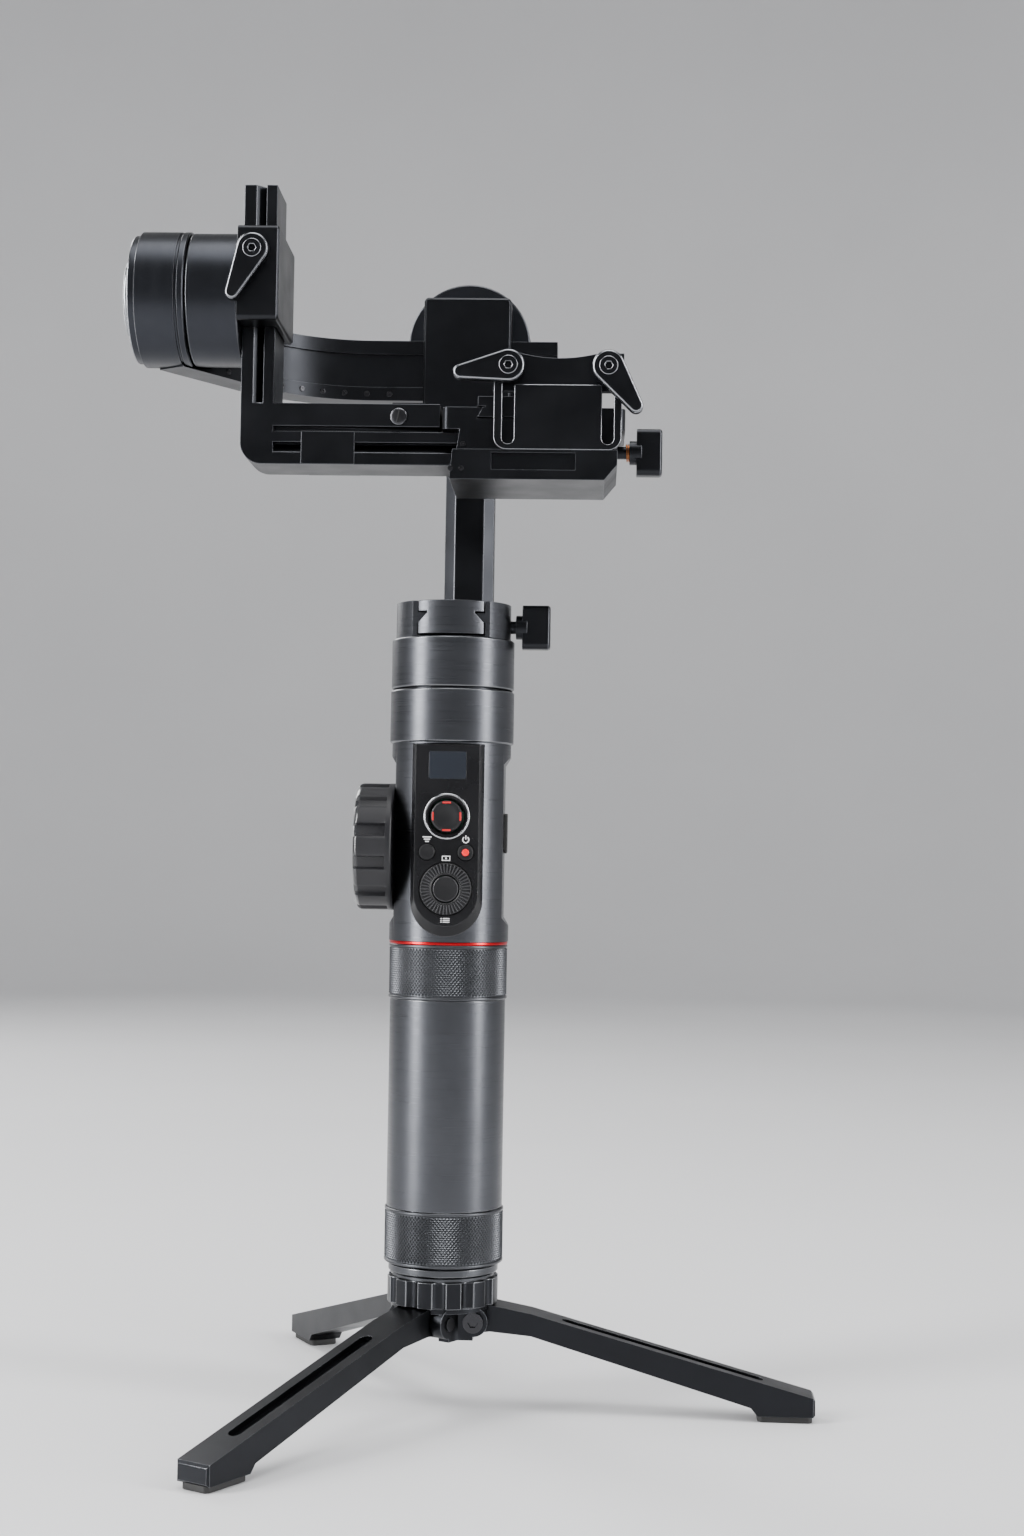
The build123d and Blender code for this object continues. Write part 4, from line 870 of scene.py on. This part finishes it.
def controlDial():
    look = dialLook
    low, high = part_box("control_dial")
    radius = (high.x - low.x) / 2
    hole = look["hole"]
    place = facing("control_dial")
    lathe("controlDial", [(hole, -0.3 * mm), (hole + 0.4 * mm, 0), (hole + 0.9 * mm, -0.35 * mm),
                          (radius - 0.5 * mm, -0.5 * mm), (radius - 0.2 * mm, -0.7 * mm), (radius, -1.2 * mm),
                          (radius, -1.6 * mm), (hole + 0.9 * mm, -1.6 * mm), (hole + 0.9 * mm, -4.6 * mm),
                          (hole, -4.6 * mm)], place, "control_dial",
          [buttonSatin, buttonSatin], width=0.06 * mm, replaced=["control_dial"])
    ridge = toolObject(ridgeMesh(look["ridgeLong"], look["ridgeWide"], look["ridgeHigh"]), "dialRidgeTool")
    teeth = ringTree.grow({"Tooth": ridge, "Count": look["ridges"], "Radius": radius - look["ridgeIn"],
                           "Surface": ridgeSatin})
    teeth.transform(place @ Matrix.Translation((0, 0, -look["ridgeHigh"])))
    addPiece("dialRidges", teeth, "control_dial", [ridgeSatin])
    low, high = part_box("dial_button")
    radius = (high.x - low.x) / 2
    lathe("dialButton", [(0, -0.35 * mm), (2.5 * mm, -0.28 * mm), (radius - 0.9 * mm, -0.05 * mm),
                         (radius - 0.4 * mm, 0), (radius, -0.4 * mm), (radius, -4.5 * mm), (0, -4.5 * mm)],
          facing("dial_button"), "dial_button", [buttonSatin, panelEdgeHighlight], width=0.12 * mm,
          replaced=["dial_button"])


controlDial()
print("control panel made")


# focus wheel

wheelLook = {
    "lobes": 12,
    "recess": 0.42,  # share of each step that is cut back
    "depth": 1.6 * mm,
    "flange": 2.4 * mm,
    "rim": 2.0 * mm,
    "perLobe": 24,
}


def focusWheel():
    low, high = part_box("focus_wheel")
    centre = (low + high) / 2
    radius = (high.z - low.z) / 2
    wide = high.x - low.x
    look = wheelLook
    count = look["lobes"] * look["perLobe"]

    def cut(k):
        # 0 on a pad, 1 in the middle of a recess
        share = (k % look["perLobe"]) / look["perLobe"]
        away = abs(share - 0.5) / (look["recess"] / 2)
        return max(0.0, min(1.0, (1 - away) * 4.5)) ** 0.7

    # stations are (distance from the body side, radius lost everywhere, share of the recess)
    stations = [(0.0, 0.5 * mm, 0), (0.35 * mm, 0.1 * mm, 0), (0.8 * mm, 0, 0), (look["flange"], 0, 0),
                (look["flange"] + 0.08 * mm, 0.02 * mm, 0.5), (look["flange"] + 0.2 * mm, 0.05 * mm, 1)]
    stations += [(wide - look["rim"] - 0.2 * mm, 0.05 * mm, 1), (wide - look["rim"], 0.1 * mm, 1)]
    for k in range(1, 9):
        turn = radians(k * 90 / 8)
        stations.append((wide - look["rim"] + look["rim"] * sin(turn),
                         0.1 * mm + look["rim"] * (1 - cos(turn)), 1 - (k / 8) ** 2))
    stations += [(wide - 0.02 * mm, 3.2 * mm, 0), (wide - 0.5 * mm, 4.0 * mm, 0),
                 (wide - 0.6 * mm, 12 * mm, 0)]
    points, faces = [], []
    for depth, lost, share in stations:
        for k in range(count):
            reach = radius - lost - look["depth"] * share * cut(k)
            turn = tau * k / count
            points.append((high.x - depth, centre.y + reach * cos(turn), centre.z + reach * sin(turn)))
    for s in range(len(stations) - 1):
        faces += [[s * count + k, s * count + (k + 1) % count, (s + 1) * count + (k + 1) % count,
                   (s + 1) * count + k] for k in range(count)]
    faces.append(list(range(count)))
    faces.append([(len(stations) - 1) * count + k for k in range(count)])
    mesh = tidyMesh(meshOf(points, faces, "focusWheel"))
    piece = addPiece("focusWheel", mesh, "focus_wheel", [wheelGrip, wheelRim])
    for polygon in mesh.polygons:
        polygon.use_smooth = True
        if polygon.center.x < low.x + look["rim"] * 0.9:
            polygon.material_index = 1
    mesh.set_sharp_from_angle(angle=radians(38))
    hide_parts("focus_wheel")
    lathe("focusWheelHub", [(0, 0.3 * mm), (6.5 * mm, 0.3 * mm), (7.0 * mm, -0.1 * mm), (7.0 * mm, -1.0 * mm),
                            (0, -1.0 * mm)],
          Matrix.Translation((low.x + 0.5 * mm, centre.y, centre.z)) @ toLeft, "focus_wheel",
          [wheelRim, blackEdgeHighlight])


focusWheel()
machined("focus_wheel_axle", "focusWheelAxle", steel, steel, 0.15 * mm)
print("focus wheel made")


# motors, arms and clamps

blackParts = {
    "yaw_arm": ("panArm", blackSatin, 0.35 * mm),
    "roll_stator_housing": ("rollMotorBack", blackTurnedY, 0.35 * mm),
    "roll_rotor_housing": ("rollMotorFront", blackTurnedY, 0.25 * mm),
    "roll_clamp": ("rollClamp", blackSatin, 0.3 * mm),
    "roll_arm": ("rollArm", blackSatin, 0.35 * mm),
    "tilt_stator_housing": ("tiltMotorOuter", blackTurnedX, 0.3 * mm),
    "tilt_rotor_housing": ("tiltMotorInner", blackTurnedX, 0.25 * mm),
    "tilt_end_cap": ("tiltMotorCap", blackTurnedX, 0.5 * mm),
    "tilt_clamp_block": ("tiltClamp", blackSatin, 0.3 * mm),
    "tilt_arm": ("tiltArm", blackSatin, 0.35 * mm),
    "camera_base": ("cameraBase", blackSatin, 0.3 * mm),
    "camera_plate": ("cameraPlate", blackSatin, 0.3 * mm),
    "lens_bracket": ("lensBracket", blackSatin, 0.35 * mm),
    "lens_cradle": ("lensCradle", blackSatin, 0.3 * mm),
    "qr_knob": ("quickReleaseKnob", blackSatin, 0.3 * mm),
    "tilt_lever": ("tiltLever", blackSatin, 0.3 * mm),
    "roll_lever": ("rollLever", blackSatin, 0.3 * mm),
    "lens_lever_left": ("lensLeverLeft", blackSatin, 0.3 * mm),
    "lens_lever_right": ("lensLeverRight", blackSatin, 0.3 * mm),
}
# these pieces take the brightest painted highlight on their chamfers
highlightRimNodes = ("tilt_end_cap", "tilt_lever", "roll_lever", "lens_lever_left", "lens_lever_right",
              "lens_bracket")
for node, (name, surface, width) in blackParts.items():
    machined(node, name, surface, brightEdgeHighlight if node in highlightRimNodes else blackEdgeHighlight, width)


def paintBarEnd():
    # the front end of the pan arm's bar shows the same metal as the drum that holds it
    piece = bpy.data.objects["panArm"]
    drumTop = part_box("clamp_drum")[1].z
    piece.data.materials.append(gunmetal)
    for polygon in piece.data.polygons:
        ahead = polygon.center.y < panAxis.y - 6 * mm and polygon.normal.y < -0.3
        if ahead and polygon.center.z < drumTop + 1 * mm:
            polygon.material_index = 2


paintBarEnd()
machined("camera_screw", "cameraScrew", steel, steel, 0.12 * mm)
print("arms made")


# screws and small hardware on the arms

def touch(node, start, direction):
    # the point and the outward direction where a straight line first meets a node
    mesh = frame["nodes"][node].data
    tree = BVHTree.FromPolygons([v.co for v in mesh.vertices], [p.vertices for p in mesh.polygons])
    place, normal = tree.ray_cast(Vector(start), Vector(direction))[:2]
    return (place, normal) if place else None


screwLook = {
    "armRow": 24.2 * mm,  # how far the roll arm's row lies under its axis
    "armCount": 9,
    "armStep": 12,
    "armRadius": 1.2 * mm,
    "baseRadius": 1.1 * mm,
    "stopAlong": 62 * mm,
    "stopUp": 19 * mm,
    "stopRadius": 3.4 * mm,
}


def armScrews():
    look = screwLook
    low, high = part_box("roll_arm")
    centre = Vector(((low.x + high.x) / 2, (low.y + high.y) / 2 - 20 * mm, rollAxis.z - look["armRow"]))
    spots = []
    for k in range(look["armCount"]):
        turn = radians(80 + look["armStep"] * k)
        hit = touch("roll_arm", centre, (cos(turn), sin(turn), 0))
        if hit and abs(hit[1].z) < 0.3:
            spots.append(hit)
    screws("rollArmScrews", "roll_arm", spots, look["armRadius"], screwBlack)
    low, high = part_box("camera_base")
    spots = []
    for x in (4.5, 8.5):
        for z in (4.0, 15.5):
            hit = touch("camera_base", (low.x + x * mm, low.y - 20 * mm, low.z + z * mm), (0, 1, 0))
            if hit:
                spots.append(hit)
    screws("cameraBaseScrews", "camera_base", spots, look["baseRadius"], screwBlack)
    low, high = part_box("tilt_arm")
    hit = touch("tilt_arm", (low.x + look["stopAlong"], low.y - 30 * mm, low.z + look["stopUp"]), (0, 1, 0))
    if hit:
        place = Matrix.Translation(hit[0]) @ front
        lathe("balanceStop", [(0, 1.0 * mm), (2.3 * mm, 1.0 * mm), (3.2 * mm, 0.55 * mm),
                              (look["stopRadius"], 0), (look["stopRadius"], -0.2 * mm), (0, -0.2 * mm)],
              place, "tilt_arm", [screwBlack, brightEdgeHighlight], count=48, width=0.1 * mm)
        slot = ridgeMesh(4.6 * mm, 0.8 * mm, 0.12 * mm)
        slot.transform(place @ Matrix.Translation((0, 0, 1.0 * mm)) @ Matrix.Rotation(radians(78), 4, "Z"))
        addPiece("balanceStopSlot", slot, "tilt_arm", [buttonSatin])


springLook = {"coils": 4, "pitch": 0.75 * mm, "radius": 3.3 * mm, "wire": 0.28 * mm, "perTurn": 24}


def knobSpring():
    # coils round the quick release knob's shaft
    look = springLook
    low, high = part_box("qr_knob")
    coil = [(0.35 * mm + k / look["perTurn"] * look["pitch"], tau * k / look["perTurn"])
            for k in range(look["coils"] * look["perTurn"] + 1)]
    points, faces = [], []
    for shift, turn in coil:
        for side in range(6):
            around = tau * side / 6
            reach = look["radius"] + look["wire"] * cos(around)
            points.append((shift + look["wire"] * sin(around), reach * cos(turn), reach * sin(turn)))
    for ring in range(len(coil) - 1):
        faces += [[ring * 6 + k, ring * 6 + (k + 1) % 6, ring * 6 + 6 + (k + 1) % 6, ring * 6 + 6 + k]
                  for k in range(6)]
    faces += [list(range(6)), list(range(len(points) - 6, len(points)))]
    mesh = meshOf(points, faces, "spring")
    mesh.transform(Matrix.Translation((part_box("camera_base")[1].x + 0.2 * mm, (low.y + high.y) / 2,
                                       (low.z + high.z) / 2)))
    tidyMesh(mesh)
    for polygon in mesh.polygons:
        polygon.use_smooth = True
    addPiece("quickReleaseSpring", mesh, "qr_knob", [copper])


padLook = {"ribs": 28, "step": 1.5 * mm, "ribLong": 8 * mm, "ribWide": 0.9 * mm, "ribHigh": 0.25 * mm}


def platePads():
    # ribbed rubber strips on both sides of the camera screw's slot
    look = padLook
    low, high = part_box("camera_plate")
    halfRow = (look["ribs"] - 1) * look["step"] / 2
    rib = toolObject(ridgeMesh(look["ribLong"], look["ribWide"], look["ribHigh"]), "padRibTool")
    rib.data.transform(Matrix.Rotation(pi / 2, 4, "Z"))
    for name, x in (("plateGripLeft", 0.22), ("plateGripRight", 0.78)):
        ribs = rowTree.grow({"Tooth": rib, "Count": look["ribs"], "Step": look["step"], "Surface": rubber})
        place = Matrix.Translation((low.x + (high.x - low.x) * x, (low.y + high.y) / 2 - halfRow, high.z))
        ribs.transform(place @ Matrix.Rotation(pi / 2, 4, "Z"))
        addPiece(name, ribs, "camera_plate", [rubber])


armScrews()
knobSpring()
platePads()
print("small hardware made")


# inner pieces

for node, name, surface in (
    ("battery_cells", "batteryCells", cellWrap), ("battery_holder", "batteryHolder", buttonSatin),
    ("main_board", "mainBoard", boardGreen), ("joystick_gimbal", "joystickGimbal", steel),
    ("yaw_stator_core", "panCoils", copper), ("roll_stator_core", "rollCoils", copper),
    ("tilt_stator_core", "tiltCoils", copper), ("yaw_bearings", "panBearings", steel),
    ("roll_bearings", "rollBearings", steel), ("tilt_bearings", "tiltBearings", steel),
):
    machined(node, name, surface, surface, 0.12 * mm, 1)

for tool in tools:
    bpy.data.objects.remove(tool)
print("inner pieces made")


# studio

studioLook = {
    "floor": (0.74, 0.74, 0.75),
    "world": (0.60, 0.61, 0.63),
    "worldStrength": 0.32,
    "flat": 2.6,  # radius of the flat floor, in metres
    "sweep": 1.2,
    "wallTop": 3.2,
    "aim": (0, 0, 0.26),
}


def studio():
    ground = cadBox[0][2]
    floorMaterial, tree, shader = blankMaterial("paleFloor", studioLook["floor"], 0.0, 0.55)
    tint(tree, shader, spread(tree, noiseOn(tree, 0.4), 0, 1), studioLook["floor"], 0.02)
    # a floor that sweeps up into a round wall, so that it looks the same from every side
    flat, sweepRadius = studioLook["flat"], studioLook["sweep"]
    bend = [(flat + sweepRadius * sin(radians(a)), sweepRadius - sweepRadius * cos(radians(a)))
            for a in range(10, 91, 10)]
    profile = [(0, 0), (flat, 0)] + bend + [(flat + sweepRadius, studioLook["wallTop"])]
    points, faces, count = [Vector((0, 0, ground))], [], 96
    for radius, height in profile[1:]:
        points += [Vector((radius * cos(tau * k / count), radius * sin(tau * k / count), ground + height))
                   for k in range(count)]
    faces += [[0, 1 + k, 1 + (k + 1) % count] for k in range(count)]
    for ring in range(len(profile) - 2):
        base = 1 + ring * count
        faces += [[base + k, base + count + k, base + count + (k + 1) % count, base + (k + 1) % count]
                  for k in range(count)]
    mesh = meshOf(points, faces, "studioSweep")
    for polygon in mesh.polygons:
        polygon.use_smooth = True
    mesh.materials.append(floorMaterial)
    sweep = bpy.data.objects.new("studioSweep", mesh)
    scene.collection.objects.link(sweep)
    world = bpy.data.worlds.new("studioWorld")
    world.use_nodes = True
    world.node_tree.nodes["Background"].inputs["Color"].default_value = (*studioLook["world"], 1)
    world.node_tree.nodes["Background"].inputs["Strength"].default_value = studioLook["worldStrength"]
    scene.world = world
    target = Vector(studioLook["aim"])
    for name, place, size, power in (
        ("leftStrip", (-1.35, -0.75, 0.75), (0.45, 1.9), 52),
        ("rightStrip", (1.45, -0.55, 0.70), (0.35, 1.9), 34),
        ("topSoft", (0.1, -0.2, 2.3), (1.6, 1.6), 44),
        ("backLeft", (-1.1, 1.3, 1.2), (0.6, 1.4), 20),
    ):
        lamp = bpy.data.lights.new(name, "AREA")
        lamp.shape = "RECTANGLE"
        lamp.size, lamp.size_y = size
        lamp.energy = power
        holder = bpy.data.objects.new(name, lamp)
        holder.location = place
        holder.rotation_mode = "QUATERNION"
        holder.rotation_quaternion = (target - Vector(place)).to_track_quat("-Z", "Y")
        holder.visible_camera = False
        scene.collection.objects.link(holder)


studio()


cameraLook = {
    "eye": (panAxis.x + 0.0553, panAxis.y - 0.8817, 0.2148),
    "yaw": 2.05,
    "pitch": 2.23,
    "roll": 0.92,
    "lens": 52.78,
}


def camera():
    # stands in front, a little to the right of the handle and just under half its height
    look = cameraLook
    data = bpy.data.cameras.new("camera")
    data.lens = look["lens"]
    data.sensor_width = 36
    data.clip_start = 0.01
    holder = bpy.data.objects.new("camera", data)
    turn = Matrix.Rotation(radians(look["yaw"]), 4, "Z")
    turn = turn @ Matrix.Rotation(radians(90 + look["pitch"]), 4, "X")
    turn = turn @ Matrix.Rotation(radians(look["roll"]), 4, "Z")
    holder.matrix_world = Matrix.Translation(look["eye"]) @ turn
    scene.collection.objects.link(holder)
    scene.camera = holder


camera()
print("studio ready")
